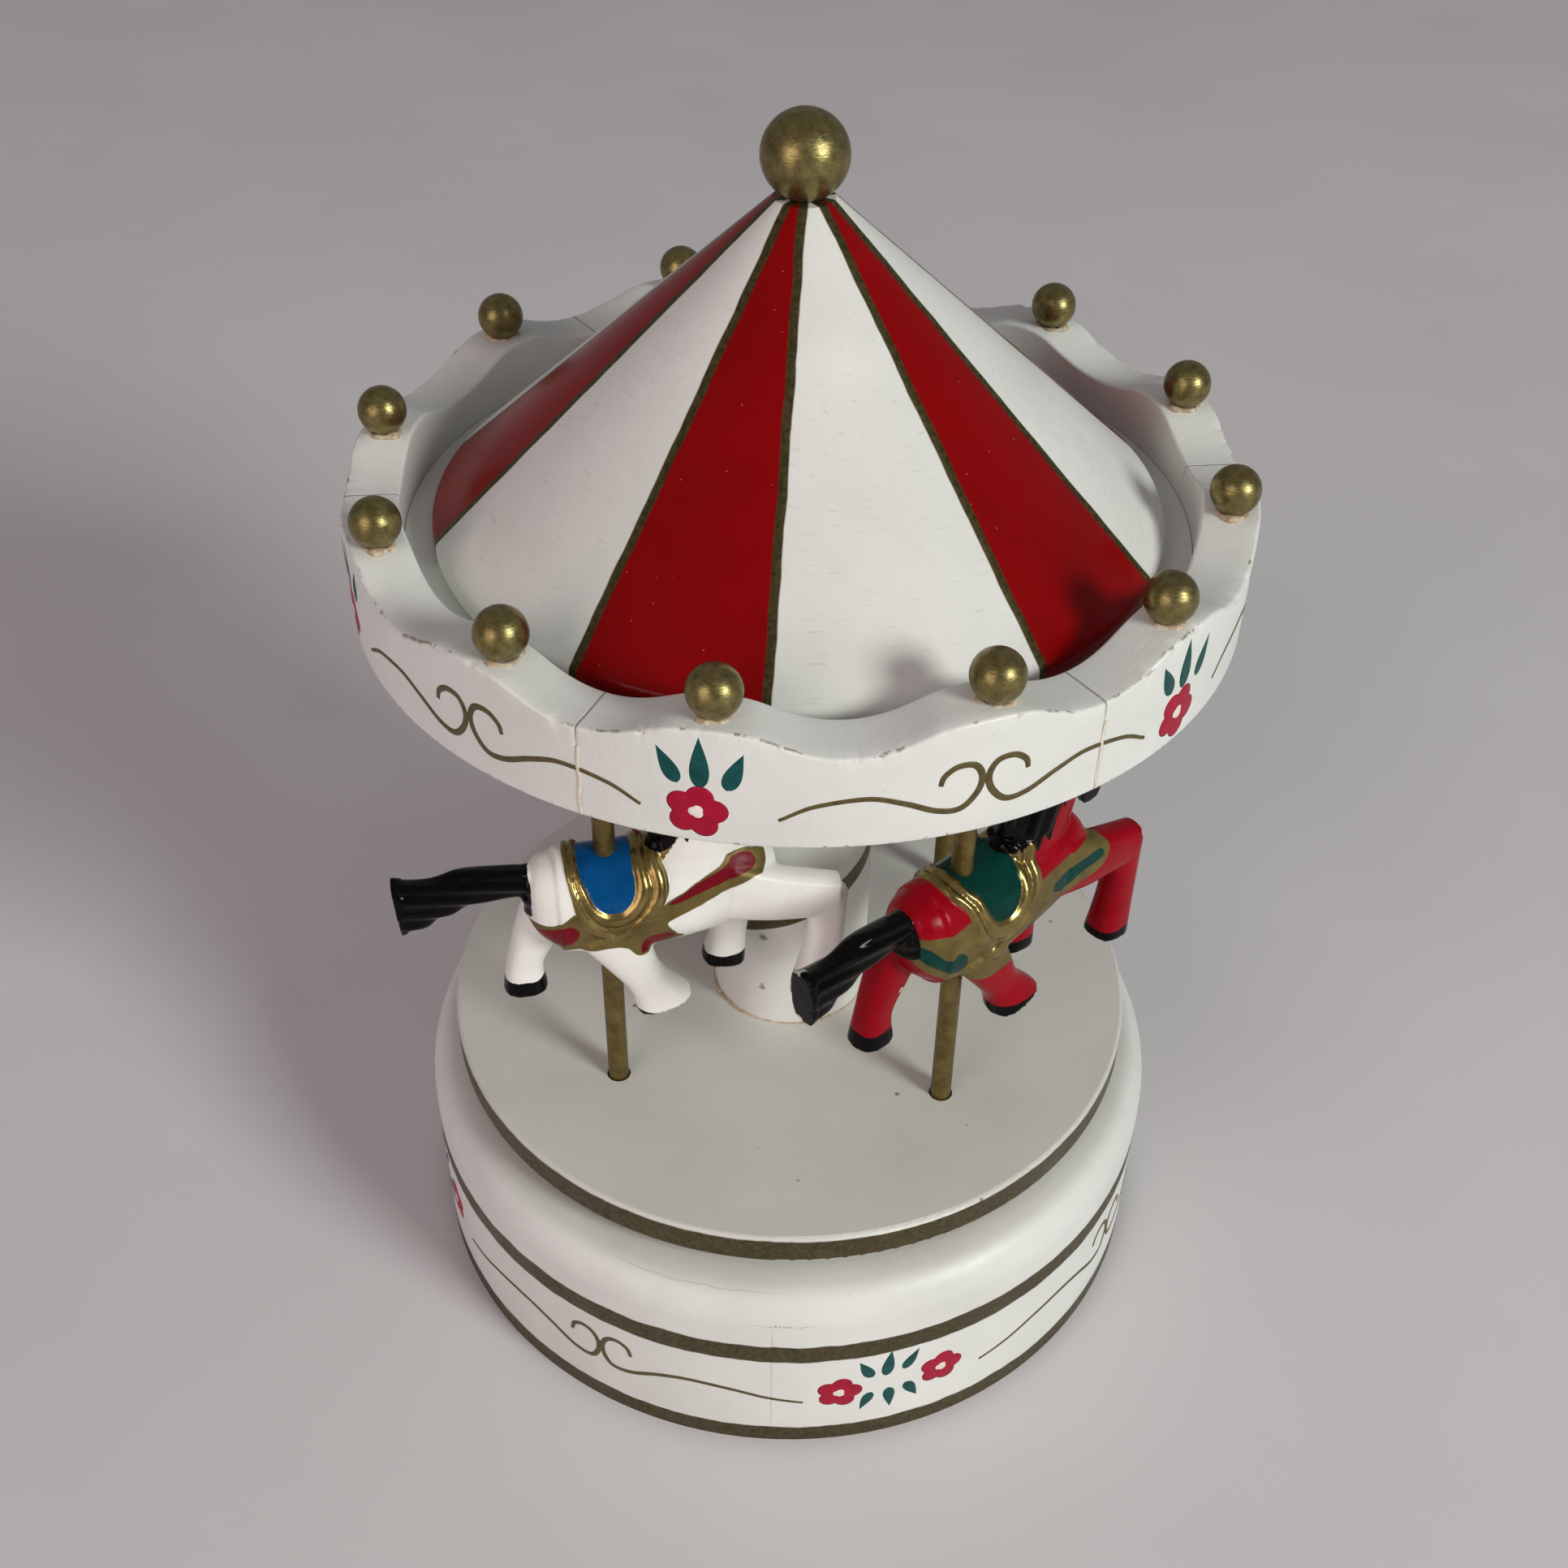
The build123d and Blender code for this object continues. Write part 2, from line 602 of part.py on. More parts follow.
# Governor frame: a foot with two upright plates, folded from one strip
frame_foot_y = governor_y + shaft_radius + gear_gap
frame_right_x = end_plate_x + plate_thickness
frame_points = [(x, frame_edge_y + small_screw_head_radius + running_gap, bed_top + plate_thickness)
                for x in (train_x + gear_width / 2, end_plate_x - small_screw_head_radius - running_gap)]
bridge_near = worm_y - 2 * small_screw_head_radius
bridge_far = worm_y + 2 * small_screw_head_radius
with BuildPart() as governor_frame:
    with BuildSketch(Plane.XY.offset(bed_top)):
        with Locations(((frame_plate_x + frame_right_x) / 2, (frame_edge_y + frame_foot_y) / 2)):
            Rectangle(frame_right_x - frame_plate_x, frame_foot_y - frame_edge_y)
        with Locations((worm_x, worm_y)):
            Circle(worm_shaft_radius + running_gap, mode=Mode.SUBTRACT)
        with Locations(*frame_points):
            Circle(small_screw_radius + seat_gap, mode=Mode.SUBTRACT)
    extrude(amount=plate_thickness)
    for plate_x, plate_far in ((frame_plate_x, bracket_half), (end_plate_x, frame_foot_y + shaft_radius)):
        with BuildSketch(Plane((plate_x, 0, 0), x_dir=(0, 1, 0), z_dir=(1, 0, 0))) as plate:
            with BuildLine():
                Polyline((frame_edge_y, bed_top), (plate_far, bed_top),
                         (plate_far, axis_z + 2 * shaft_radius + gear_gap),
                         (bridge_far, axis_z + 2 * shaft_radius + gear_gap), (bridge_far, bridge_bottom),
                         (frame_edge_y, bridge_bottom), close=True)
            make_face()
            with Locations((worm_y, bridge_bottom)):
                Rectangle(tenon_width, plate_thickness, align=(Align.CENTER, Align.MIN))
            with Locations((governor_y, axis_z), (0, axis_z)):
                Circle(shaft_radius + running_gap, mode=Mode.SUBTRACT)
        extrude(plate.sketch, amount=plate_thickness)
keep(governor_frame, "governor_frame")

# Bridge over the worm, pressed onto the two plates' tenons
with BuildPart() as governor_bridge:
    with BuildSketch(Plane.XY.offset(bridge_bottom)):
        with Locations(((frame_plate_x + frame_right_x) / 2, worm_y)):
            Rectangle(frame_right_x - frame_plate_x, bridge_far - bridge_near)
        with Locations((worm_x, worm_y)):
            Circle(worm_shaft_radius + running_gap, mode=Mode.SUBTRACT)
        with Locations((frame_plate_x, worm_y), (frame_right_x, worm_y)):
            Rectangle(2 * (plate_thickness + seat_gap), tenon_width + 2 * seat_gap, mode=Mode.SUBTRACT)
    extrude(amount=plate_thickness)
keep(governor_bridge, "governor_bridge")

with BuildPart() as bracket_screws:
    screws([*small_points, *frame_points], small_screw_radius, plate_thickness, small_screw_head_radius,
           small_screw_head_height)
keep(bracket_screws, "bracket_screws")

# Drive hub on the arbor, with a boss up into the platform
hub_screw_points = [around((hub_radius + hub_boss_radius) / 2, 360 * k / hub_screw_count,
                           hub_bottom + screw_head_height) for k in range(hub_screw_count)]
hub_boss_top = platform_bottom + hub_boss_height
tie_rod_bottom = arbor_top + hub_web
with BuildPart() as drive_hub:
    turned((0, arbor_top), (arbor_radius + seat_gap, arbor_top), (arbor_radius + seat_gap, hub_bottom),
           (hub_radius, hub_bottom), (hub_radius, platform_bottom), (hub_boss_radius, platform_bottom),
           (hub_boss_radius, hub_boss_top), (tie_rod_radius + seat_gap, hub_boss_top),
           (tie_rod_radius + seat_gap, tie_rod_bottom), (0, tie_rod_bottom))
    with Locations(*hub_screw_points):
        Cylinder(screw_radius + seat_gap, platform_gap, align=standing,
                 mode=Mode.SUBTRACT)
        Cylinder(screw_head_radius + seat_gap, screw_head_height, align=hanging,
                 mode=Mode.SUBTRACT)
keep(drive_hub, "drive_hub")

hub_screw_length = platform_bottom + platform_thickness / 2 - hub_bottom - screw_head_height
with BuildPart() as hub_screws:
    screws(hub_screw_points, screw_radius, hub_screw_length, screw_head_radius, screw_head_height,
           heads_up=False)
keep(hub_screws, "hub_screws")

# Platform, with sockets for the poles
pole_angles = [pole_phase + 360 * k / pole_count for k in range(pole_count)]
with BuildPart() as platform:
    with Locations((0, 0, platform_bottom)):
        Cylinder(platform_radius, platform_thickness, align=standing)
    fillet(platform.edges().filter_by(GeomType.CIRCLE), platform_edge_round)
    with Locations((0, 0, platform_bottom)):
        Cylinder(hub_boss_radius + seat_gap, platform_thickness, align=standing,
                 mode=Mode.SUBTRACT)
    with Locations(*[around(pole_circle, angle, platform_top) for angle in pole_angles]):
        Cylinder(pole_radius + running_gap, pole_socket, align=hanging,
                 mode=Mode.SUBTRACT)
    with Locations(*hub_screw_points):
        Cylinder(screw_radius + seat_gap, hub_screw_length + seat_gap,
                 align=standing, mode=Mode.SUBTRACT)
keep(platform, "platform")

with BuildPart() as centre_column:
    turned((tie_rod_radius + seat_gap, platform_top), (column_radius, platform_top),
           (column_radius, ceiling_bottom), (tie_rod_radius + seat_gap, ceiling_bottom))
keep(centre_column, "centre_column")

# Tie rod and its nut, which clamp the column between platform and ceiling
tie_rod_top = ceiling_top + tie_nut_height + tie_rod_proud
with BuildPart() as tie_rod:
    turned((0, tie_rod_bottom), (tie_rod_radius, tie_rod_bottom), (tie_rod_radius, tie_rod_top),
           (0, tie_rod_top))
keep(tie_rod, "tie_rod")

with BuildPart() as tie_nut:
    with BuildSketch(Plane.XY.offset(ceiling_top)):
        RegularPolygon(tie_nut_width / 2, 6, major_radius=False)
        Circle(tie_rod_radius + seat_gap, mode=Mode.SUBTRACT)
    extrude(amount=tie_nut_height)
keep(tie_nut, "tie_nut")

with BuildPart() as ceiling_board:
    turned((tie_rod_radius + seat_gap, ceiling_bottom), (rim_inner - seat_gap, ceiling_bottom),
           (rim_inner - seat_gap, ceiling_top), (tie_rod_radius + seat_gap, ceiling_top))
    with Locations(*[around(pole_circle, angle, ceiling_bottom) for angle in pole_angles]):
        Cylinder(pole_radius + running_gap, pole_socket, align=standing,
                 mode=Mode.SUBTRACT)
keep(ceiling_board, "ceiling_board")

# Canopy ring: each segment is sawn with hollows between flat crests, its ends in the hollows
segment_arc = 360 / rim_segments
wave_arc = segment_arc / waves_per_segment
hollow_half = rim_radius * radians((wave_arc - wave_land) / 2)
hollow_radius = (hollow_half ** 2 + wave_depth ** 2) / (2 * wave_depth)
for segment in range(rim_segments):
    joint = rim_phase + segment * segment_arc
    with BuildPart() as rim_segment:
        with BuildSketch(Plane((0, 0, rim_bottom), x_dir=around(1, joint), z_dir=around(1, joint - 90))):
            with Locations((rim_inner, 0)):
                Rectangle(rim_wall, rim_crest_height, align=(Align.MIN, Align.MIN))
        revolve(axis=Axis.Z, revolution_arc=segment_arc)
        for hollow in range(waves_per_segment + 1):
            outward = around(1, joint + hollow * wave_arc)
            hollow_z = crest_z - wave_depth + hollow_radius
            with BuildSketch(Plane((0, 0, hollow_z), x_dir=(0, 0, 1), z_dir=outward)) as saw_cut:
                Circle(hollow_radius)
            extrude(saw_cut.sketch, amount=rim_radius + rim_wall, mode=Mode.SUBTRACT)
        crest_edges = rim_segment.edges().filter_by(GeomType.LINE).filter_by_position(
            Axis.Z, crest_z - seat_gap, crest_z + seat_gap)
        fillet(crest_edges, wave_round)
    keep(rim_segment, f"rim_segment_{segment + 1}")

# Beads, each sanded flat to sit on a crest
bead_circle = rim_radius - rim_wall / 2
bead_z = crest_z + bead_radius - bead_sink
bead_angles = [rim_phase + (crest + 0.5) * wave_arc + shift for crest, shift in enumerate(bead_shift)]
with BuildPart() as rim_balls:
    with Locations(*[around(bead_circle, angle, bead_z) for angle in bead_angles]):
        Sphere(bead_radius)
    split(bisect_by=Plane.XY.offset(crest_z), keep=Keep.TOP)
keep(rim_balls, "rim_balls")

# Cone roof, hollowed over the nut and bored for the finial's dowel
dowel_bottom = cone_tip_z - finial_dowel_depth
with BuildPart() as roof_cone:
    turned((0, ceiling_top + cone_cavity_depth), (cone_cavity_radius, ceiling_top + cone_cavity_depth),
           (cone_cavity_radius, ceiling_top), (cone_radius, ceiling_top),
           (cone_radius, ceiling_top + cone_edge), (cone_tip_radius, cone_tip_z), (0, cone_tip_z))
    rolled_edges = roof_cone.edges().filter_by(GeomType.CIRCLE).filter_by(
        lambda edge: edge.radius > cone_radius - seat_gap)
    fillet(rolled_edges, cone_edge_round)
    with Locations((0, 0, dowel_bottom)):
        Cylinder(finial_dowel_radius + seat_gap, finial_dowel_depth, align=standing,
                 mode=Mode.SUBTRACT)
keep(roof_cone, "roof_cone")

with BuildPart() as finial_dowel:
    turned((0, dowel_bottom + seat_gap), (finial_dowel_radius, dowel_bottom + seat_gap),
           (finial_dowel_radius, finial_z), (0, finial_z))
keep(finial_dowel, "finial_dowel")

with BuildPart() as finial_ball:
    with Locations((0, 0, finial_z)):
        Sphere(finial_radius)
    split(bisect_by=Plane.XY.offset(cone_tip_z), keep=Keep.TOP)
    with Locations((0, 0, finial_z + seat_gap)):
        Cylinder(finial_dowel_radius + seat_gap, 2 * finial_radius, align=hanging,
                 mode=Mode.SUBTRACT)
keep(finial_ball, "finial_ball")

# Poles
pole_bottom = platform_top - pole_socket
pole_top = ceiling_bottom + pole_socket - running_gap
for number, angle in enumerate(pole_angles, start=1):
    with BuildPart() as pole:
        with Locations(around(pole_circle, angle, pole_bottom)):
            Cylinder(pole_radius, pole_top - pole_bottom, align=standing)
    keep(pole, f"pole_{number}")

# Horse, moulded in one piece round its pole: forward, left and up from the top of the saddle.
# A station is (forward, left, up, half width, half depth, lean), its lean in degrees above forward.
body = ((-14, 0, -8, 2.4, 3, 0), (-11.5, 0, -8.8, 5.4, 7.2, 0), (-6, 0, -10.2, 7.3, 9.4, 0),
        (2, 0, -10.8, 7.7, 9.6, 0), (11, 0, -10, 7.5, 9.4, 0), (19, 0, -8.6, 6.9, 9.2, 0),
        (25, 0, -8.2, 5.2, 7.2, 0), (28.5, 0, -8.4, 2.6, 3.4, 0))
left_hind = ((-8.5, 4, -12, 3.4, 5.2, -105), (-12, 4, -19.5, 3.3, 4, -110), (-14.6, 4, -26.5, 2.9, 3.2, -95),
             (-15, 4, -33, 3.5, 3.9, -90))
right_hind = ((-3, -5.2, -13, 3.2, 5.2, -60), (1.5, -5.6, -20.5, 3.2, 4.2, -60),
              (5.6, -6.4, -26.8, 3, 3.3, -55), (9.6, -7.2, -32.8, 3.5, 3.8, -62))
right_forearm = ((20, -3.8, -8.5, 3.2, 6.2, -5), (28, -4.2, -10.6, 3.2, 5.2, -8),
                 (38.5, -4.6, -12.2, 2.8, 4, -8))
right_shin = ((37.2, -4.6, -11, 2.6, 3.2, -90), (37, -4.8, -24, 2.8, 3.3, -91),
              (36.4, -5, -33, 3.4, 3.9, -92))
left_fore = ((21, 4, -9, 3.2, 5.6, -90), (22, 4.2, -17, 3.1, 4.2, -88), (22.6, 4.4, -26, 2.8, 3.3, -88),
             (22.3, 4.4, -34.2, 3.4, 3.9, -92))
neck = ((13, 0, -7, 5, 9, 70), (17, 0, 1.5, 4.6, 7.6, 68), (20.3, 0, 9.5, 4, 6.2, 66),
        (24, 0, 19.5, 2.4, 3.4, 58))
head = ((19.8, 0, 20.8, 2.6, 3.6, -54), (24, 0, 16, 3.2, 4.4, -54), (28.6, 0, 9.7, 2.5, 3.2, -54),
        (33, 0, 3.6, 1.9, 2.2, -54))
mane = ((9, -0.6, 2.5, 1.5, 2.4, 62), (14.4, -0.9, 12, 1.8, 2.6, 60), (19.5, -0.6, 21, 1.4, 2.2, 58))
tail = ((-10.5, 0, -6, 2.6, 3, 170), (-17, 0, -4.4, 2.5, 3, 172), (-25, 0, -3.2, 2.5, 3.6, 175),
        (-33, 0, -2.2, 2.2, 4.6, 180))
left_ear = ((20.2, 1.7, 21.5, 1, 1.1, 80), (20.6, 1.9, 26.5, 0.4, 0.4, 80))
right_ear = ((20.2, -1.7, 21.5, 1, 1.1, 80), (20.6, -1.9, 26.5, 0.4, 0.4, 80))
pommel = ((9, 0, -3, 2.8, 2.4, 80), (10.6, 0, 2.4, 1.6, 1.2, 80))
saddle = ((-8.5, 0, -9.8, 7.5, 9.9, 0), (0, 0, -10.4, 8.4, 10.4, 0), (8.5, 0, -9.8, 8.2, 10.3, 0))
saddle_hang = -13.0      # lower edge of the saddle cloth
grow = horse_length / (right_forearm[-1][0] - tail[-1][0])


def swelling(stations):
    """A rounded form lofted through ellipses that stand square to its line, grown to the horse's length."""
    sections = []
    for forward, left, up, half_width, half_depth, lean in stations:
        direction = (cos(radians(lean)), 0, sin(radians(lean)))
        centre = (forward * grow, left * grow, up * grow)
        with BuildSketch(Plane(centre, x_dir=(0, 1, 0), z_dir=direction)) as section:
            Ellipse(half_width * grow, half_depth * grow)
        sections.append(section.sketch)
    loft(sections)


with BuildPart() as saddle_cloth:
    swelling(saddle)
    split(bisect_by=Plane.XY.offset(saddle_hang * grow), keep=Keep.TOP)
with BuildPart() as horse_mould:
    for form in (body, left_hind, right_hind, right_forearm, right_shin, left_fore, neck, head, mane, tail,
                 left_ear, right_ear, pommel):
        swelling(form)
    add(saddle_cloth.part)
    Cylinder(pole_radius + seat_gap, stage_height, mode=Mode.SUBTRACT)
for number, (angle, turn) in enumerate(zip(pole_angles, turned_in), start=1):
    with BuildPart() as horse:
        with Locations(Location(around(pole_circle, angle, saddle_z), (0, 0, angle + turn))):
            add(horse_mould.part)
    keep(horse, f"horse_{number}")
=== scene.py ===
import bpy
import json
import numpy as np
from mathutils import Matrix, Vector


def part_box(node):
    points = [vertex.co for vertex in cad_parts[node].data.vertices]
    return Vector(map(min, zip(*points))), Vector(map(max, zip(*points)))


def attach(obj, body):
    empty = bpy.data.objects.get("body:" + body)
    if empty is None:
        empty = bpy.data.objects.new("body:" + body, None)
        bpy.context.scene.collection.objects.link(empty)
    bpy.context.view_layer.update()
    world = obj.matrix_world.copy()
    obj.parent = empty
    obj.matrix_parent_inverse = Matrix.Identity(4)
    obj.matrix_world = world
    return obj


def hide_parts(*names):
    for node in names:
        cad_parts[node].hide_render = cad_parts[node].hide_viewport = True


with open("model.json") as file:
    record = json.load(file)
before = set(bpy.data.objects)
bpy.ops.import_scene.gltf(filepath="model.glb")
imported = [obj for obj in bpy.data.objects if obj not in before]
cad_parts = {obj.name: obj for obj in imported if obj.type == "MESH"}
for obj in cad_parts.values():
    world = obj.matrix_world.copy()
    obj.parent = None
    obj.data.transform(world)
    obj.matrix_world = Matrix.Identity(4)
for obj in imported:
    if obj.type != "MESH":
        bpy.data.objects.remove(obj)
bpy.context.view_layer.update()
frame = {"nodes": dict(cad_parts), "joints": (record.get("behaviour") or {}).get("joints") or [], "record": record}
nodes = frame["nodes"]
mm = 0.001


def span(node):
    # lowest and highest corner of a piece, in millimetres
    low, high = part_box(node)
    return np.array(low) / mm, np.array(high) / mm


baseRadius, _, baseTop = span("base_shell")[1]
columnRadius = span("centre_column")[1][0]
deckLow, deckHigh = span("platform")
ringLow, ringHigh = span("rim_segment_1")
deckRadius = deckHigh[0]
ringRadius = -ringLow[1]
# joint is the first glued joint, in degrees to the right of the front; land is the flat between two hollows
ringShape = {"joint": -24.3, "segments": 6, "turn": 60, "wave": 30, "land": 12.0, "depth": 3.6, "soft": 2.0,
             "inner": ringRadius - 9.25, "outer": ringRadius - 0.14, "low": ringLow[2], "crest": ringHigh[2],
             "corner": 0.55}


# Shading tools

def linear(code):
    # hex sRGB to linear RGBA
    parts = [int(code[i:i + 2], 16) / 255 for i in (1, 3, 5)]
    return tuple(v / 12.92 if v <= 0.04045 else ((v + 0.055) / 1.055) ** 2.4 for v in parts) + (1.0,)


def wire(tree, node, inputs):
    # links each input to a socket, or sets a plain value on it
    for socket, value in inputs.items():
        if isinstance(value, bpy.types.NodeSocket):
            tree.links.new(value, node.inputs[socket])
        else:
            node.inputs[socket].default_value = value


def addNode(tree, kind, inputs, out=0, **options):
    # one node with its settings and links, as one of its outputs; a second word in kind is its operation
    kind, *operation = kind.split()
    node = tree.nodes.new("ShaderNode" + kind)
    if operation:
        node.operation = operation[0]
    for name, value in options.items():
        setattr(node, name, value)
    wire(tree, node, inputs)
    return node.outputs[out]


def startMaterial(name):
    # a new material with its node tree, its shader and the object position in millimetres
    material = bpy.data.materials.new(name)
    material.use_nodes = True
    tree = material.node_tree
    spot = addNode(tree, "TexCoord", {}, 3)
    spot = addNode(tree, "VectorMath MULTIPLY", {0: spot, 1: (1 / mm,) * 3})
    return material, tree, tree.nodes["Principled BSDF"], spot


def whereabouts(tree, spot):
    # height, distance from the upright axis and degrees to the right of the front
    parts = addNode(tree, "SeparateXYZ", {0: spot}).node.outputs
    flat = addNode(tree, "VectorMath MULTIPLY", {0: spot, 1: (1, 1, 0)})
    away = addNode(tree, "VectorMath LENGTH", {0: flat}, 1)
    front = addNode(tree, "Math MULTIPLY", {0: parts[1], 1: -1.0})
    turn = addNode(tree, "Math ARCTAN2", {0: parts[0], 1: front})
    angle = addNode(tree, "Math DEGREES", {0: turn})
    return parts[2], away, angle


def within(tree, value, low, high, soft=0.15):
    # 1 between low and high, fading over soft at both ends
    rise = addNode(tree, "MapRange", {0: value, 1: low - soft, 2: low + soft})
    fall = addNode(tree, "MapRange", {0: value, 1: high - soft, 2: high + soft, 3: 1.0, 4: 0.0})
    return addNode(tree, "Math MULTIPLY", {0: rise, 1: fall})


def wavering(tree, spot, value, reach, size):
    # a value pushed to and fro by noise, so that a painted edge runs by hand
    noise = addNode(tree, "TexNoise", {"Vector": spot, "Scale": 1 / size, "Detail": 2.0})
    push = addNode(tree, "MapRange", {0: noise, 1: 0.25, 2: 0.75, 3: -reach, 4: reach})
    return addNode(tree, "Math ADD", {0: value, 1: push})


def mottled(tree, spot, dark, light, size, sharp=0.2):
    # two colours mixed by noise of one size in millimetres
    noise = addNode(tree, "TexNoise", {"Vector": spot, "Scale": 1 / size, "Detail": 4.0, "Roughness": 0.6})
    share = addNode(tree, "MapRange", {0: noise, 1: 0.5 - sharp, 2: 0.5 + sharp})
    return addNode(tree, "Mix", {0: share, 6: linear(dark), 7: linear(light)}, 2, data_type="RGBA")


def specks(tree, spot, size, share):
    # scattered dots of dust and tiny knocks
    cells = addNode(tree, "TexVoronoi", {"Vector": spot, "Scale": 1 / size})
    return addNode(tree, "MapRange", {0: cells, 1: share, 2: share * 0.6, 3: 0.0, 4: 1.0})


goldTones = ("#39321D", "#5F5534")  # bronze lines on white enamel
goldShine = 0.55                    # how metallic those lines are


def goldOver(tree, spot, colour, mask):
    # bronze lines painted over a colour: the new colour, and how metallic it is
    bronze = mottled(tree, spot, *goldTones, 0.9)
    colour = addNode(tree, "Mix", {0: mask, 6: colour, 7: bronze}, 2, data_type="RGBA")
    return colour, addNode(tree, "Math MULTIPLY", {0: mask, 1: goldShine})


def dusted(tree, spot, colour, size, share, strength, tone):
    # specks of dust over a colour
    dustAndShade = specks(tree, spot, size, share)
    dustAndShade = addNode(tree, "Math MULTIPLY", {0: dustAndShade, 1: strength})
    return addNode(tree, "Mix", {0: dustAndShade, 6: colour, 7: linear(tone)}, 2, data_type="RGBA")


def paintedWood(name, dark, light, goldMask=None, markMask=None, rings=0.0, gloss=0.42, texture=0.22):
    # brushed enamel over turned wood: a soft sheen, faint brush texture, specks of dust, gold bronze lines
    material, tree, shader, spot = startMaterial(name)
    z, away, angle = whereabouts(tree, spot)
    colour = mottled(tree, spot, dark, light, 28.0)
    colour = dusted(tree, spot, colour, 3.4, 0.055, 0.3, "#8C7E70")
    # marks mix towards dark brown: joints, cracks, rubs and dents, and on the base painted shade under the deck
    if markMask:
        mark = markMask(tree, spot, z, away, angle)
        colour = addNode(tree, "Mix", {0: mark, 6: colour, 7: linear("#7A6756")}, 2, data_type="RGBA")
    sheen = addNode(tree, "TexNoise", {"Vector": spot, "Scale": 0.12, "Detail": 3.0})
    worn = addNode(tree, "MapRange", {0: sheen, 1: 0.3, 2: 0.7, 3: gloss - 0.07, 4: gloss + 0.08})
    if goldMask:
        gold = goldMask(tree, spot, z, away, angle)
        colour, shine = goldOver(tree, spot, colour, gold)
        wire(tree, shader, {"Metallic": shine})
    grain = addNode(tree, "TexNoise", {"Vector": spot, "Scale": 1.1, "Detail": 3.0})
    if rings:
        turned = addNode(tree, "TexNoise", {"W": away, "Scale": 1.6, "Detail": 2.0}, noise_dimensions="1D")
        grain = addNode(tree, "Mix", {0: rings, 2: grain, 3: turned})
    bump = addNode(tree, "Bump", {"Strength": texture, "Distance": 0.12 * mm, "Height": grain})
    wire(tree, shader, {"Base Color": colour, "Roughness": worn, "Normal": bump})
    return material


def bronzePaint(name, dark, light, size, shine=0.8, rough=0.36):
    # bronze powder paint: a metal glint broken up by the grain of the powder and thin patches
    material, tree, shader, spot = startMaterial(name)
    colour = mottled(tree, spot, dark, light, size, 0.25)
    long = addNode(tree, "VectorMath MULTIPLY", {0: spot, 1: (1.2, 1.2, 5.0)})
    grain = addNode(tree, "TexNoise", {"Vector": long, "Scale": 1.0, "Detail": 4.0})
    bump = addNode(tree, "Bump", {"Strength": 0.4, "Distance": 0.1 * mm, "Height": grain})
    worn = addNode(tree, "MapRange", {0: grain, 1: 0.3, 2: 0.7, 3: rough - 0.08, 4: rough + 0.12})
    wire(tree, shader, {"Base Color": colour, "Metallic": shine, "Roughness": worn, "Normal": bump})
    return material


def brushPaint(name, dark, light, size, rough=0.4):
    # a thick dab of enamel, or a moulding: even colour with slight mottling and a soft surface
    material, tree, shader, spot = startMaterial(name)
    colour = mottled(tree, spot, dark, light, size)
    grain = addNode(tree, "TexNoise", {"Vector": spot, "Scale": 2.2, "Detail": 3.0})
    bump = addNode(tree, "Bump", {"Strength": 0.3, "Distance": 0.08 * mm, "Height": grain})
    wire(tree, shader, {"Base Color": colour, "Roughness": rough, "Specular IOR Level": 0.2, "Normal": bump})
    return material


def machinedMetal(name, dark, light, rough):
    # cut and polished metal: fine scratches, a clear metallic reflection
    material, tree, shader, spot = startMaterial(name)
    colour = mottled(tree, spot, dark, light, 5.0)
    long = addNode(tree, "VectorMath MULTIPLY", {0: spot, 1: (6.0, 6.0, 0.6)})
    lines = addNode(tree, "TexNoise", {"Vector": long, "Scale": 1.0, "Detail": 3.0})
    bump = addNode(tree, "Bump", {"Strength": 0.15, "Distance": 0.05 * mm, "Height": lines})
    worn = addNode(tree, "MapRange", {0: lines, 1: 0.3, 2: 0.7, 3: rough, 4: rough + 0.12})
    wire(tree, shader, {"Base Color": colour, "Metallic": 1.0, "Roughness": worn, "Normal": bump})
    return material


def sawnWood(name, dark, light, stretch):
    # bare sawn wood: long streaks of grain, dull surface
    material, tree, shader, spot = startMaterial(name)
    long = addNode(tree, "VectorMath MULTIPLY", {0: spot, 1: stretch})
    grain = addNode(tree, "TexNoise", {"Vector": long, "Scale": 1.0, "Detail": 5.0, "Roughness": 0.65})
    share = addNode(tree, "MapRange", {0: grain, 1: 0.3, 2: 0.7})
    colour = addNode(tree, "Mix", {0: share, 6: linear(dark), 7: linear(light)}, 2, data_type="RGBA")
    bump = addNode(tree, "Bump", {"Strength": 0.4, "Distance": 0.1 * mm, "Height": grain})
    wire(tree, shader, {"Base Color": colour, "Roughness": 0.72, "Normal": bump})
    return material


# Painted marks on the turned pieces

# heights and distances from the axis in millimetres, angles in degrees to the right of the front
baseMarks = {"stripes": ((-1.0, 4.1), (25.0, 29.7)), "side": (baseRadius - 1.2, baseRadius - 1.0),
             "seamAngles": (-2.0, -1.8), "seamHeights": (5.0, 34.0), "seamDark": 0.3,
             "crackHeights": (baseTop - 7.3, baseTop - 7.15), "crackAngles": (-4.6, 4.2), "crackDark": 0.7,
             # the three under-deck keys place painted shade on the shoulder under the deck: its heights, its reach
             # inwards and how dark it gets
             "underDeckShadeHeights": (baseTop - 4.0, baseTop - 2.0), "underDeckShadeAway": (baseRadius - 2.2, baseRadius - 4.6),
             "underDeckShadeDark": 0.22, "lineAway": (baseRadius - 3.3, baseRadius - 3.1), "lineAngles": (-27.0, -1.0),
             "lineDark": 0.4}


def baseStripes(tree, spot, z, away, angle):
    # two gold stripes round the base, hand run
    edge = wavering(tree, spot, z, 0.25, 6.0)
    low, high = [within(tree, edge, *stripe) for stripe in baseMarks["stripes"]]
    both = addNode(tree, "Math MAXIMUM", {0: low, 1: high})
    outer, inner = baseMarks["side"]
    side = addNode(tree, "MapRange", {0: away, 1: outer, 2: inner})
    return addNode(tree, "Math MULTIPLY", {0: both, 1: side})


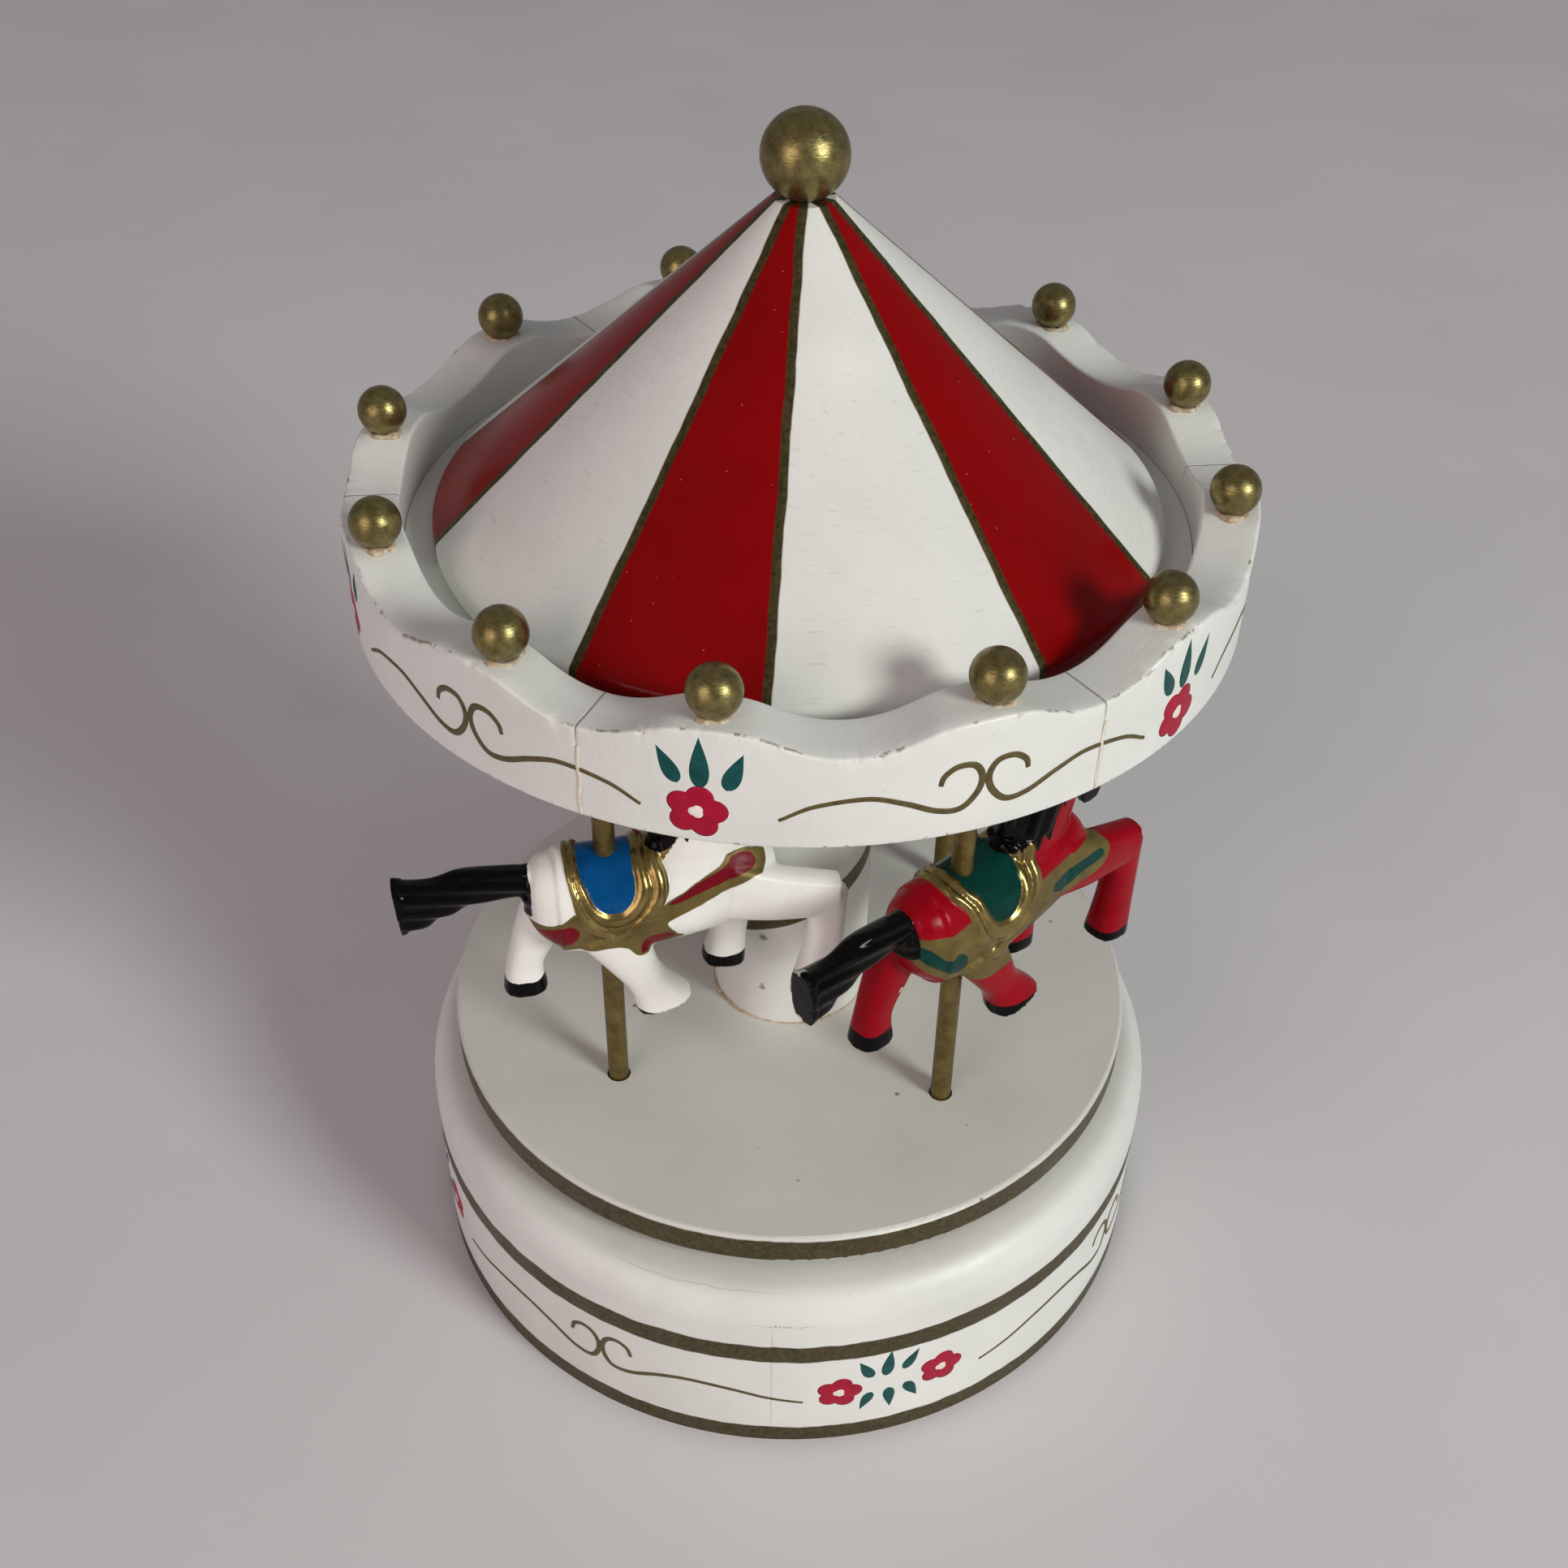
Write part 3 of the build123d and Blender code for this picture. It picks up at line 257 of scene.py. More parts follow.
def baseSeamAndShade(tree, spot, z, away, angle):
    # the glued joint that shows through the paint at the front
    edge = wavering(tree, spot, angle, 0.12, 3.0)
    line = within(tree, edge, *baseMarks["seamAngles"], 0.08)
    tall = within(tree, z, *baseMarks["seamHeights"], 2.0)
    line = addNode(tree, "Math MULTIPLY", {0: line, 1: tall})
    line = addNode(tree, "Math MULTIPLY", {0: line, 1: baseMarks["seamDark"]})
    # a hairline crack across it on the shoulder
    high = wavering(tree, spot, z, 0.5, 0.7)
    crack = within(tree, high, *baseMarks["crackHeights"], 0.06)
    wide = within(tree, angle, *baseMarks["crackAngles"], 1.5)
    crack = addNode(tree, "Math MULTIPLY", {0: crack, 1: wide})
    crack = addNode(tree, "Math MULTIPLY", {0: crack, 1: baseMarks["crackDark"]})
    line = addNode(tree, "Math MAXIMUM", {0: line, 1: crack})
    # painted shade in the hollow under the deck, darkest up under it, with a dark line at its edge on the left
    reach = wavering(tree, spot, away, 0.3, 6.0)
    foot, full = baseMarks["underDeckShadeHeights"]
    top = addNode(tree, "MapRange", {0: z, 1: foot, 2: full})
    outer, inner = baseMarks["underDeckShadeAway"]
    dustAndShade = addNode(tree, "MapRange", {0: reach, 1: outer, 2: inner, 3: 0.0, 4: baseMarks["underDeckShadeDark"]})
    rim = within(tree, reach, *baseMarks["lineAway"], 0.1)
    wide = within(tree, angle, *baseMarks["lineAngles"], 5.0)
    rim = addNode(tree, "Math MULTIPLY", {0: rim, 1: wide})
    rim = addNode(tree, "Math MULTIPLY", {0: rim, 1: baseMarks["lineDark"]})
    dustAndShade = addNode(tree, "Math MAXIMUM", {0: dustAndShade, 1: rim})
    dustAndShade = addNode(tree, "Math MULTIPLY", {0: dustAndShade, 1: top})
    return addNode(tree, "Math MAXIMUM", {0: line, 1: dustAndShade})


def deckPits(tree, spot, z, away, angle):
    # a few small dents with dirt in them
    return addNode(tree, "Math MULTIPLY", {0: specks(tree, spot, 9.0, 0.06), 1: 0.8})


def deckEdge(tree, spot, z, away, angle):
    # gold on the deck's upright edge, below the rounded white corner
    edge = wavering(tree, spot, z, 0.12, 5.0)
    side = addNode(tree, "MapRange", {0: away, 1: deckRadius - 0.5, 2: deckRadius - 0.3})
    low = within(tree, edge, deckLow[2] - 1, deckHigh[2] - 0.75)
    return addNode(tree, "Math MULTIPLY", {0: side, 1: low})


columnSpiral = {"rise": 0.112, "front": 81.5, "half": 2.15}  # millimetres for each degree, height, half width
columnRubs = {"angle": -20.4, "perDegree": 0.26, "height": 68.3, "apart": 6.7, "size": (1.1, 0.2),
              "dark": 0.85}


def columnStripe(tree, spot, z, away, angle):
    # one gold stripe that winds up the column: height less rise times angle, repeated once a turn
    lean = addNode(tree, "Math MULTIPLY_ADD", {0: angle, 1: -columnSpiral["rise"], 2: z})
    turn = 360 * columnSpiral["rise"]
    off = addNode(tree, "Math ADD", {0: lean, 1: turn / 2 - columnSpiral["front"]})
    off = addNode(tree, "Math FLOORED_MODULO", {0: off, 1: turn})
    off = wavering(tree, spot, off, 0.15, 4.0)
    return within(tree, off, turn / 2 - columnSpiral["half"], turn / 2 + columnSpiral["half"])


def columnSmudges(tree, spot, z, away, angle):
    # two dark rubs low on the column's front: distance from a spot above and a spot below one height
    side = addNode(tree, "Math ADD", {0: angle, 1: -columnRubs["angle"]})
    side = addNode(tree, "Math MULTIPLY", {0: side, 1: columnRubs["perDegree"]})
    high = addNode(tree, "Math SUBTRACT", {0: z, 1: columnRubs["height"]})
    high = addNode(tree, "Math ABSOLUTE", {0: high})
    high = addNode(tree, "Math SUBTRACT", {0: high, 1: columnRubs["apart"]})
    gap = addNode(tree, "CombineXYZ", {0: side, 1: high})
    gap = addNode(tree, "VectorMath LENGTH", {0: gap}, 1)
    gap = wavering(tree, spot, gap, 0.8, 1.7)
    faint, full = columnRubs["size"]
    return addNode(tree, "MapRange", {0: gap, 1: faint, 2: full, 3: 0.0, 4: columnRubs["dark"]})


ringWear = {"jointHalf": 0.1, "topHeights": (162.0, 165.0), "rubIn": (0.62, 0.2), "nickAbove": (0.8, 0.5),
            "dark": 0.75}


def ringJoints(tree, spot, z, away, angle):
    # a dark line on the top where two segments meet, rubbed wood along the crests' outer edge, nicks below
    edge = wavering(tree, spot, angle, 0.12, 2.0)
    half = ringShape["turn"] / 2
    off = addNode(tree, "Math ADD", {0: edge, 1: half - ringShape["joint"]})
    off = addNode(tree, "Math FLOORED_MODULO", {0: off, 1: ringShape["turn"]})
    line = within(tree, off, half - ringWear["jointHalf"], half + ringWear["jointHalf"], 0.1)
    foot, full = ringWear["topHeights"]
    high = addNode(tree, "MapRange", {0: z, 1: foot, 2: full})
    line = addNode(tree, "Math MULTIPLY", {0: line, 1: high})
    rub = addNode(tree, "TexNoise", {"Vector": spot, "Scale": 0.16, "Detail": 6.0, "Roughness": 0.75})
    rub = addNode(tree, "MapRange", {0: rub, 1: 0.54, 2: 0.58})
    rim = wavering(tree, spot, away, 0.15, 2.0)
    rim = within(tree, rim, *[ringShape["outer"] - depth for depth in ringWear["rubIn"]], 0.1)
    rub = addNode(tree, "Math MULTIPLY", {0: rub, 1: rim})
    rub = addNode(tree, "Math MULTIPLY", {0: rub, 1: high})
    both = addNode(tree, "Math MAXIMUM", {0: line, 1: rub})
    nick = addNode(tree, "TexNoise", {"Vector": spot, "Scale": 1.1, "Detail": 3.0})
    nick = addNode(tree, "MapRange", {0: nick, 1: 0.62, 2: 0.66})
    faint, full = [ringShape["low"] + above for above in ringWear["nickAbove"]]
    low = addNode(tree, "MapRange", {0: z, 1: faint, 2: full})
    nick = addNode(tree, "Math MULTIPLY", {0: nick, 1: low})
    both = addNode(tree, "Math MAXIMUM", {0: both, 1: nick})
    return addNode(tree, "Math MULTIPLY", {0: both, 1: ringWear["dark"]})


# angles in degrees, the line's half width in millimetres
roofPanels = {"turn": 72.0, "redCentre": -19.2, "redHalf": 14.9, "lineHalf": 0.72, "drift": 2.2,
              "white": ("#D8D8D2", "#E6E6E1"), "red": ("#7E0002", "#880003"), "streak": "#B4B0A6",
              "dustAndShade": "#A89C92"}


def roofPaint(name):
    # gloss enamel on a turned cone: five red and five wider white panels parted by bronze lines, set out by
    # hand and so a little closer at the front: angle plus drift times its sine
    material, tree, shader, spot = startMaterial(name)
    _, away, angle = whereabouts(tree, spot)
    sway = addNode(tree, "Math RADIANS", {0: angle})
    sway = addNode(tree, "Math SINE", {0: sway})
    off = addNode(tree, "Math MULTIPLY_ADD", {0: sway, 1: roofPanels["drift"], 2: angle})
    half = roofPanels["turn"] / 2
    for step, value in (("ADD", half - roofPanels["redCentre"]), ("FLOORED_MODULO", roofPanels["turn"]),
                        ("SUBTRACT", half), ("ABSOLUTE", 0), ("SUBTRACT", roofPanels["redHalf"]),
                        ("RADIANS", 0), ("MULTIPLY", away)):
        off = addNode(tree, "Math " + step, {0: off, 1: value})
    off = wavering(tree, spot, off, 0.16, 7.0)
    isRed = addNode(tree, "MapRange", {0: off, 1: 0.1, 2: -0.1})
    isLine = within(tree, off, -roofPanels["lineHalf"], roofPanels["lineHalf"], 0.12)
    white = mottled(tree, spot, *roofPanels["white"], 30.0)
    red = mottled(tree, spot, *roofPanels["red"], 12.0)
    # rubs on the white that run round the cone
    around = addNode(tree, "Math MULTIPLY", {0: angle, 1: 0.22})
    outward = addNode(tree, "Math MULTIPLY", {0: away, 1: 2.4})
    streak = addNode(tree, "CombineXYZ", {0: around, 1: outward})
    streak = addNode(tree, "TexNoise", {"Vector": streak, "Scale": 1.0, "Detail": 3.0})
    streak = addNode(tree, "MapRange", {0: streak, 1: 0.62, 2: 0.7, 3: 0.0, 4: 0.3})
    white = addNode(tree, "Mix", {0: streak, 6: white, 7: linear(roofPanels["streak"])}, 2, data_type="RGBA")
    colour = addNode(tree, "Mix", {0: isRed, 6: white, 7: red}, 2, data_type="RGBA")
    colour = dusted(tree, spot, colour, 3.0, 0.05, 0.35, roofPanels["dustAndShade"])
    colour, shine = goldOver(tree, spot, colour, isLine)
    rough = addNode(tree, "MapRange", {0: isRed, 1: 0.0, 2: 1.0, 3: 0.4, 4: 0.24})
    turned = addNode(tree, "TexNoise", {"W": away, "Scale": 1.4, "Detail": 3.0}, noise_dimensions="1D")
    grain = addNode(tree, "TexNoise", {"Vector": spot, "Scale": 0.8, "Detail": 3.0})
    grain = addNode(tree, "Mix", {0: 0.5, 2: grain, 3: turned})
    bump = addNode(tree, "Bump", {"Strength": 0.2, "Distance": 0.12 * mm, "Height": grain})
    wire(tree, shader, {"Base Color": colour, "Metallic": shine, "Roughness": rough, "Normal": bump,
                        "Specular IOR Level": 0.15})
    return material


cream = {"dark": "#D8D9D3", "light": "#E6E7E2"}
materials = {
    "painted_base": paintedWood("Satin white enamel on the turned base", **cream, goldMask=baseStripes,
                                markMask=baseSeamAndShade, rings=0.25),
    # the deck's white is set greyer than the other white pieces: painted shade from the canopy above it
    "painted_deck": paintedWood("Satin white enamel on the deck", "#D1D0C8", "#DBDAD3", goldMask=deckEdge,
                                markMask=deckPits, rings=0.5),
    "painted_column": paintedWood("Satin white enamel on the column", **cream, goldMask=columnStripe,
                                  markMask=columnSmudges, rings=0.2),
    "painted_ceiling": paintedWood("Satin white enamel on the ceiling", **cream),
    "painted_ring": paintedWood("Satin white enamel on sawn segments", **cream, markMask=ringJoints,
                                texture=0.5),
    "painted_roof": roofPaint("Gloss enamel on the turned roof"),
    "gold_beads": bronzePaint("Bronze paint brushed on wood", "#5E5331", "#968A58", 1.6, 0.85, 0.3),
    "gold_poles": bronzePaint("Bronze paint on dowels", "#5A4B28", "#8C7A48", 3.0),
    "bare_board": sawnWood("Plywood, sawn and sanded", "#A98355", "#C8A473", (0.02, 0.35, 1.6)),
    "bare_dowel": sawnWood("Beech dowel", "#B98F62", "#D2AE82", (0.9, 0.9, 0.05)),
    "steel": machinedMetal("Blued spring steel, ground", "#5F6266", "#8B8F94", 0.3),
    "brass": machinedMetal("Yellow brass, machined", "#8F6F2C", "#B8954A", 0.26),
    "nylon": brushPaint("Moulded nylon", "#D6D2C4", "#E6E2D6", 3.0, 0.5),
}


def coat(node, material):
    # the CAD piece takes one material
    nodes[node].data.materials.clear()
    nodes[node].data.materials.append(material)


for part in frame["record"]["subparts"]:
    if part["material_slot"] in materials:
        coat(part["node"], materials[part["material_slot"]])
print("materials on the turned pieces and the movement")


# Surface tools

def addObject(name, data):
    # a new object in the scene
    item = bpy.data.objects.new(name, data)
    bpy.context.scene.collection.objects.link(item)
    return item


def faceList(blocks):
    # blocks of faces, each an array of quads or of triangles, as one list
    return [face for block in blocks for face in block.tolist()]


def meshFrom(name, points, blocks, material):
    # one smooth object from points in millimetres and blocks of faces
    mesh = bpy.data.meshes.new(name)
    mesh.from_pydata((points * mm).tolist(), [], faceList(blocks))
    mesh.polygons.foreach_set("use_smooth", np.ones(len(mesh.polygons), bool))
    mesh.materials.append(material)
    return addObject(name, mesh)


def closedRings(rings):
    # rings of points (rows, columns, 3) closed by a point at each end: points, then quads and end triangles
    rows, columns = rings.shape[:2]
    points = np.concatenate([rings.reshape(-1, 3), rings[0].mean(0)[None], rings[-1].mean(0)[None]])
    c = np.arange(columns)
    n = (c + 1) % columns
    row = columns * np.arange(rows - 1)[:, None]
    quads = np.stack([row + c, row + n, row + columns + n, row + columns + c], -1).reshape(-1, 4)
    end = (rows - 1) * columns
    first = np.stack([n, c, np.full(columns, rows * columns)], -1)
    last = np.stack([end + c, end + n, np.full(columns, rows * columns + 1)], -1)
    return points, [quads, first, last]


def gather(parts):
    # several closed surfaces as one array of points and one list of blocks of faces
    points, blocks, count = [], [], 0
    for partPoints, partBlocks in parts:
        points.append(partPoints)
        blocks += [block + count for block in partBlocks]
        count += len(partPoints)
    return np.concatenate(points), blocks


def onDrum(s, z, lift, radius, degrees):
    # arc length s from an angle, height z, lifted off a drum: ((r + lift) sin a, -(r + lift) cos a, z)
    a = np.radians(degrees) + s / radius
    return np.stack([(radius + lift) * np.sin(a), -(radius + lift) * np.cos(a), z + 0 * a], -1)


def dab(outline, radius, degrees, height, thick=0.09, sink=0.05):
    # a dab of paint: the outline shrunk by q ring by ring, lifted about thick (1 - q squared), closed below
    q = np.array([0.04, 0.35, 0.7, 0.9, 1.0, 0.98, 0.5, 0.04])[:, None, None]
    lift = np.array([1.0, 0.9, 0.55, 0.2, 0.0, -1.0, -1.0, -1.0])[:, None]
    shape = outline.mean(0) + (outline - outline.mean(0)) * q
    raised = np.where(lift > 0, lift * thick, lift * sink) * np.ones(shape.shape[:2])
    rings = onDrum(shape[..., 0], shape[..., 1] + height, raised, radius, degrees)
    return closedRings(rings[:, ::-1])


def flowerOutline(size, petals, tilt):
    # radius = size (0.74 + 0.26 |cos(petals (a - tilt) / 2)|^0.8)
    a = np.linspace(0, 2 * np.pi, 80, endpoint=False)
    r = size * (0.74 + 0.26 * np.abs(np.cos(petals * (a - tilt) / 2)) ** 0.8)
    return np.stack([r * np.sin(a), r * np.cos(a)], -1)


def leafOutline(foot, tip, width):
    # a leaf from foot to tip: half width = width sin(pi t^0.6) on each side of the line
    t = np.linspace(0.0, 1.0, 20)
    along = np.array(tip) - np.array(foot)
    across = np.array([along[1], -along[0]]) / np.hypot(*along)
    half = (width * np.sin(np.pi * t ** 0.6))[:, None] * across
    line = np.array(foot) + t[:, None] * along
    return np.concatenate([line + half, (line - half)[-2:0:-1]])[::-1]


def smoothPath(points, steps):
    # a smooth curve through points: a cubic for each stretch, sloped at its ends as their neighbours lie
    p = np.array(points, float)
    p = np.concatenate([2 * p[:1] - p[1:2], p, 2 * p[-1:] - p[-2:-1]])
    u = np.linspace(0, len(p) - 3, steps)
    i = np.minimum(u.astype(int), len(p) - 4)
    t = (u - i)[:, None]
    a, b, c, d = p[i], p[i + 1], p[i + 2], p[i + 3]
    square = (2 * a - 5 * b + 4 * c - d) * t ** 2
    cube = (3 * b - a - 3 * c + d) * t ** 3
    return 0.5 * (2 * b + (c - a) * t + square + cube)


def stroke(path, width, radius, degrees, height, thick=0.1, sink=0.05):
    # a brush stroke: a flattened tube along a curve on a drum, its half width tapering to the ends
    line = smoothPath(path, 90)
    slope = np.gradient(line, axis=0)
    across = np.stack([slope[:, 1], -slope[:, 0]], -1) / np.linalg.norm(slope, axis=1)[:, None]
    t = np.linspace(0, 1, len(line))
    half = width * (0.55 + 0.45 * np.sin(np.pi * np.clip(t, 0.02, 0.98)) ** 0.5) * (0.85 + 0.3 * t)
    a = np.linspace(0, 2 * np.pi, 10, endpoint=False)
    offset = across[:, None, :] * (half[:, None] * np.cos(a))[..., None]
    lift = np.where(np.sin(a) > 0, thick, sink) * np.sin(a) * np.ones((len(line), 1))
    flat = line[:, None, :] + offset
    return closedRings(onDrum(flat[..., 0], flat[..., 1] + height, lift, radius, degrees))


def ringTop(degrees, radius):
    # a round saw cut of radius R in each wave: gap = R - depth - root(R^2 - (r sin a)^2) from the crest,
    # eased into it by half of (gap - root(gap^2 + soft^2))
    wave, depth = ringShape["wave"], ringShape["depth"]
    a = np.radians((degrees - ringShape["joint"] + wave / 2) % wave - wave / 2)
    half = ringRadius * np.radians((wave - ringShape["land"]) / 2)
    big = (half ** 2 + depth ** 2) / (2 * depth)
    side = np.minimum(np.abs(radius * np.sin(a)), big * 0.98)
    gap = big - depth - np.sqrt(big ** 2 - side ** 2)
    return ringShape["crest"] + 0.5 * (gap - np.sqrt(gap ** 2 + ringShape["soft"] ** 2))


segmentGrid = {"along": 241, "bend": 7, "across": 5, "tall": 9, "gap": 0.03}
segmentWear = {"knocks": 30, "size": (0.2, 1.1), "deep": (0.02, 0.14), "reach": 0.9, "rub": 0.1,
               "endReach": 0.12, "endDeep": 0.12}


def sawnSegment(first, seed):
    # a rounded rectangle swept along the arc: x goes outwards, share is 0 at the foot and 1 on the wave, off
    # rounds the corners; the outer one is knocked here and there
    turn, wear, grid = ringShape["turn"], segmentWear, segmentGrid
    degrees = first + np.linspace(grid["gap"], turn - grid["gap"], grid["along"])[:, None]
    r = ringShape["corner"]
    wide = ringShape["outer"] - ringShape["inner"]
    bend = np.linspace(0, np.pi / 2, grid["bend"])
    rise, fall = r * np.sin(bend), r * np.cos(bend)
    across = np.linspace(r, wide - r, grid["across"] + 2)[1:-1]
    tall = np.linspace(0.06, 0.94, grid["tall"])
    none, flat = np.zeros(grid["tall"]), np.zeros(grid["across"])
    x = np.concatenate([wide - r + rise, none + wide, wide - r + fall, across[::-1], r - rise, none, r - fall,
                        across])
    share = np.concatenate([0 * bend, tall, 0 * bend + 1, flat + 1, 0 * bend + 1, tall[::-1], 0 * bend, flat])
    off = np.concatenate([r - fall, none, rise - r, flat, fall - r, none, r - rise, flat])
    random = np.random.default_rng(seed)
    knocks = random.uniform(0, turn, wear["knocks"])[:, None, None]
    size = random.uniform(*wear["size"], wear["knocks"])[:, None, None]
    deep = random.uniform(*wear["deep"], wear["knocks"])[:, None, None]
    knock = (deep * np.exp(-((degrees - first - knocks) / size) ** 2)).sum(0)
    sway = 0.1 * np.sin(np.radians(degrees * 7 + seed)) + 0.06 * np.sin(np.radians(degrees * 23 + 3 * seed))
    outerTop = np.exp(-((x - wide) / wear["reach"]) ** 2) * (share > 0.99)
    ends = np.exp(-np.minimum(degrees - first, first + turn - degrees) / wear["endReach"])
    radius = ringShape["inner"] + x - outerTop * knock - wear["endDeep"] * ends * (x > wide - 0.1)
    top = ringTop(degrees, radius) - outerTop * (knock + wear["rub"] + sway)
    z = ringShape["low"] + share * (np.minimum(top, ringShape["crest"]) - ringShape["low"]) + off
    a = np.radians(degrees)
    return closedRings(np.stack([radius * np.sin(a), -radius * np.cos(a), z], -1))


jointTurns = [ringShape["joint"] + ringShape["turn"] * k for k in range(ringShape["segments"])]
for number, first in enumerate(jointTurns):
    surface = sawnSegment(first, 11 + number)
    segment = meshFrom(f"sawnSegment{number + 1}", *surface, materials["painted_ring"])
    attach(segment, "carousel")
    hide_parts(f"rim_segment_{number + 1}")
print("canopy ring")

crimson = brushPaint("Crimson enamel, brushed", "#98032A", "#AC0734", 2.0)
teal = brushPaint("Teal enamel, brushed", "#053E3C", "#0A5350", 1.6)
whiteDot = brushPaint("White enamel dot", "#DCD6CC", "#EDE8DF", 1.5)
scrollGold = bronzePaint("Bronze line, brushed", "#4C4226", "#6E6138", 1.0, 0.4, 0.42)

# turn, centre and scroll in degrees; a leaf is foot, tip and half width; arm is the right half of a scroll
ringArt = {"turn": 60, "centre": -10.7, "height": 155.0, "flowers": ((0.0, 0.0),), "size": 4.55,
           "leaves": (((-2.6, 4.6), (-5.5, 10.6), 1.25), ((0.5, 4.1), (0.5, 12.9), 1.4),
                      ((4.2, 4.2), (6.6, 10.7), 1.3)),
           "scroll": 20.6, "scrollHeight": 158.4,
           "arm": ((28.8, -3.8), (23.9, -1.3), (16.8, -0.3), (11.6, -1.7), (6.9, -3.8), (3.5, -4.1),
                   (1.2, -1.9), (0.5, 0.8), (1.7, 3.1), (4.2, 3.4), (6.1, 2.1), (6.6, 0.5))}
baseArt = {"turn": 90, "centre": 15.7, "height": 15.2, "flowers": ((-9.7, -0.5), (10.1, 0.5)), "size": 4.4,
           "leaves": (((-3.5, 2.9), (-6.1, 8.2), 1.15), ((-0.9, 2.6), (-0.1, 10.2), 1.2),
                      ((2.5, 3.4), (5.3, 8.8), 1.1), ((-3.6, -1.8), (-5.7, -6.9), 1.1),
                      ((-0.3, -1.4), (0.2, -7.7), 1.15), ((3.0, -1.0), (5.5, -6.2), 1.15)),
           "scroll": -28.4, "scrollHeight": 16.3,
           "arm": ((39.4, -4.0), (33.1, -2.7), (26.0, -0.9), (18.4, -0.3), (12.2, -1.5), (6.2, -4.0),
                   (2.3, -4.1), (0.6, -1.4), (0.5, 1.4), (1.7, 3.6), (3.8, 4.3), (5.8, 3.2), (6.5, 1.1))}
brush = {"petals": 5, "dotSize": 1.55, "dotThick": 0.17, "dotSink": -0.03, "scrollHalf": 0.54}


def paintArt(label, art, radius, body):
    # flowers, leaves and scrolls repeated round a drum
    reds, dots, greens, golds = [], [], [], []
    dot = flowerOutline(brush["dotSize"], 3, 0.5)
    for k in range(360 // art["turn"]):
        middle = art["centre"] + k * art["turn"]
        flower = flowerOutline(art["size"], brush["petals"], 0.2 + 0.3 * k)
        for s, z in art["flowers"]:
            place = (radius, middle + np.degrees(s / radius), art["height"] + z)
            reds.append(dab(flower, *place))
            dots.append(dab(dot, *place, brush["dotThick"], brush["dotSink"]))
        greens += [dab(leafOutline(*leaf), radius, middle, art["height"]) for leaf in art["leaves"]]
        place = (radius, art["scroll"] + k * art["turn"], art["scrollHeight"])
        for side in (-1, 1):
            golds.append(stroke(np.array(art["arm"]) * (side, 1), brush["scrollHalf"], *place))
    for kind, parts, material in (("Flowers", reds, crimson), ("Dots", dots, whiteDot),
                                  ("Leaves", greens, teal), ("Scrolls", golds, scrollGold)):
        piece = meshFrom(label + kind, *gather(parts), material)
        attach(piece, body)


paintArt("ring", ringArt, ringShape["outer"], "carousel")
paintArt("base", baseArt, baseRadius, "base")
print("painted flowers, leaves and scrolls")

glue = brushPaint("Wood glue, dried in a ridge", "#CFC6B4", "#E2DBCD", 1.2, 0.3)
glueRuns = {"path": ((0.15, 0.4), (-0.1, 3.0), (0.2, 6.5), (0.05, 9.5), (0.3, 12.5)), "width": 0.34,
            "radius": ringShape["outer"], "height": ringShape["low"], "thick": 0.13, "sink": 0.1}
runs = [stroke(degrees=turn, **glueRuns) for turn in jointTurns]
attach(meshFrom("glueRuns", *gather(runs), glue), "carousel")
# each bead's shift is in degrees from the middle of its crest
beads = {"circle": ringRadius - 4.65, "foot": 2.15, "glue": 0.55,
         "shift": (0.0, 2.2, -0.5, -2.2, -2.7, -2.6, 0.0, -1.7, 0.3, 2.7, 2.4, 2.8)}
columnGlue = {"level": deckHigh[2] + 0.15, "thick": 0.3, "seed": 0.6, "steps": 220}


def glueCollar(degrees, circle, foot, level, thick, seed, steps=48, sides=14):
    # a lumpy ring of glue round a foot: a flattened tube bent round the foot, closed on itself
    ring = np.linspace(0, 2 * np.pi, steps, endpoint=False)[:, None]
    tube = np.linspace(0, 2 * np.pi, sides, endpoint=False)
    lump = 1 + 0.35 * np.sin(2 * ring + seed) + 0.25 * np.sin(5 * ring + 2 * seed)
    out = foot + thick * lump * (0.4 + np.cos(tube))
    z = level - 0.1 + 0.76 * thick * lump * np.sin(tube)
    a = np.radians(degrees)
    x = circle * np.sin(a) + out * np.cos(ring)
    y = -circle * np.cos(a) + out * np.sin(ring)
    points = np.stack([x, y, z + 0 * x], -1).reshape(-1, 3)
    r, c = np.meshgrid(np.arange(steps), np.arange(sides), indexing="ij")
    n, m = (r + 1) % steps, (c + 1) % sides
    quads = np.stack([r * sides + c, n * sides + c, n * sides + m, r * sides + m], -1)
    return points, [quads.reshape(-1, 4)]


firstCrest = ringShape["joint"] + ringShape["wave"] / 2
beadTurns = [firstCrest + ringShape["wave"] * k + shift for k, shift in enumerate(beads["shift"])]
collars = [glueCollar(a, beads["circle"], beads["foot"], ringTop(a, beads["circle"]), beads["glue"], 1.7 * k)
           for k, a in enumerate(beadTurns)]
collars.append(glueCollar(0, 0, columnRadius, **columnGlue))
oldGlue = brushPaint("Wood glue, yellowed", "#A08256", "#D8CFBE", 0.9)
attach(meshFrom("glueCollars", *gather(collars), oldGlue), "carousel")
print("glue in the joints, under the beads and round the column")


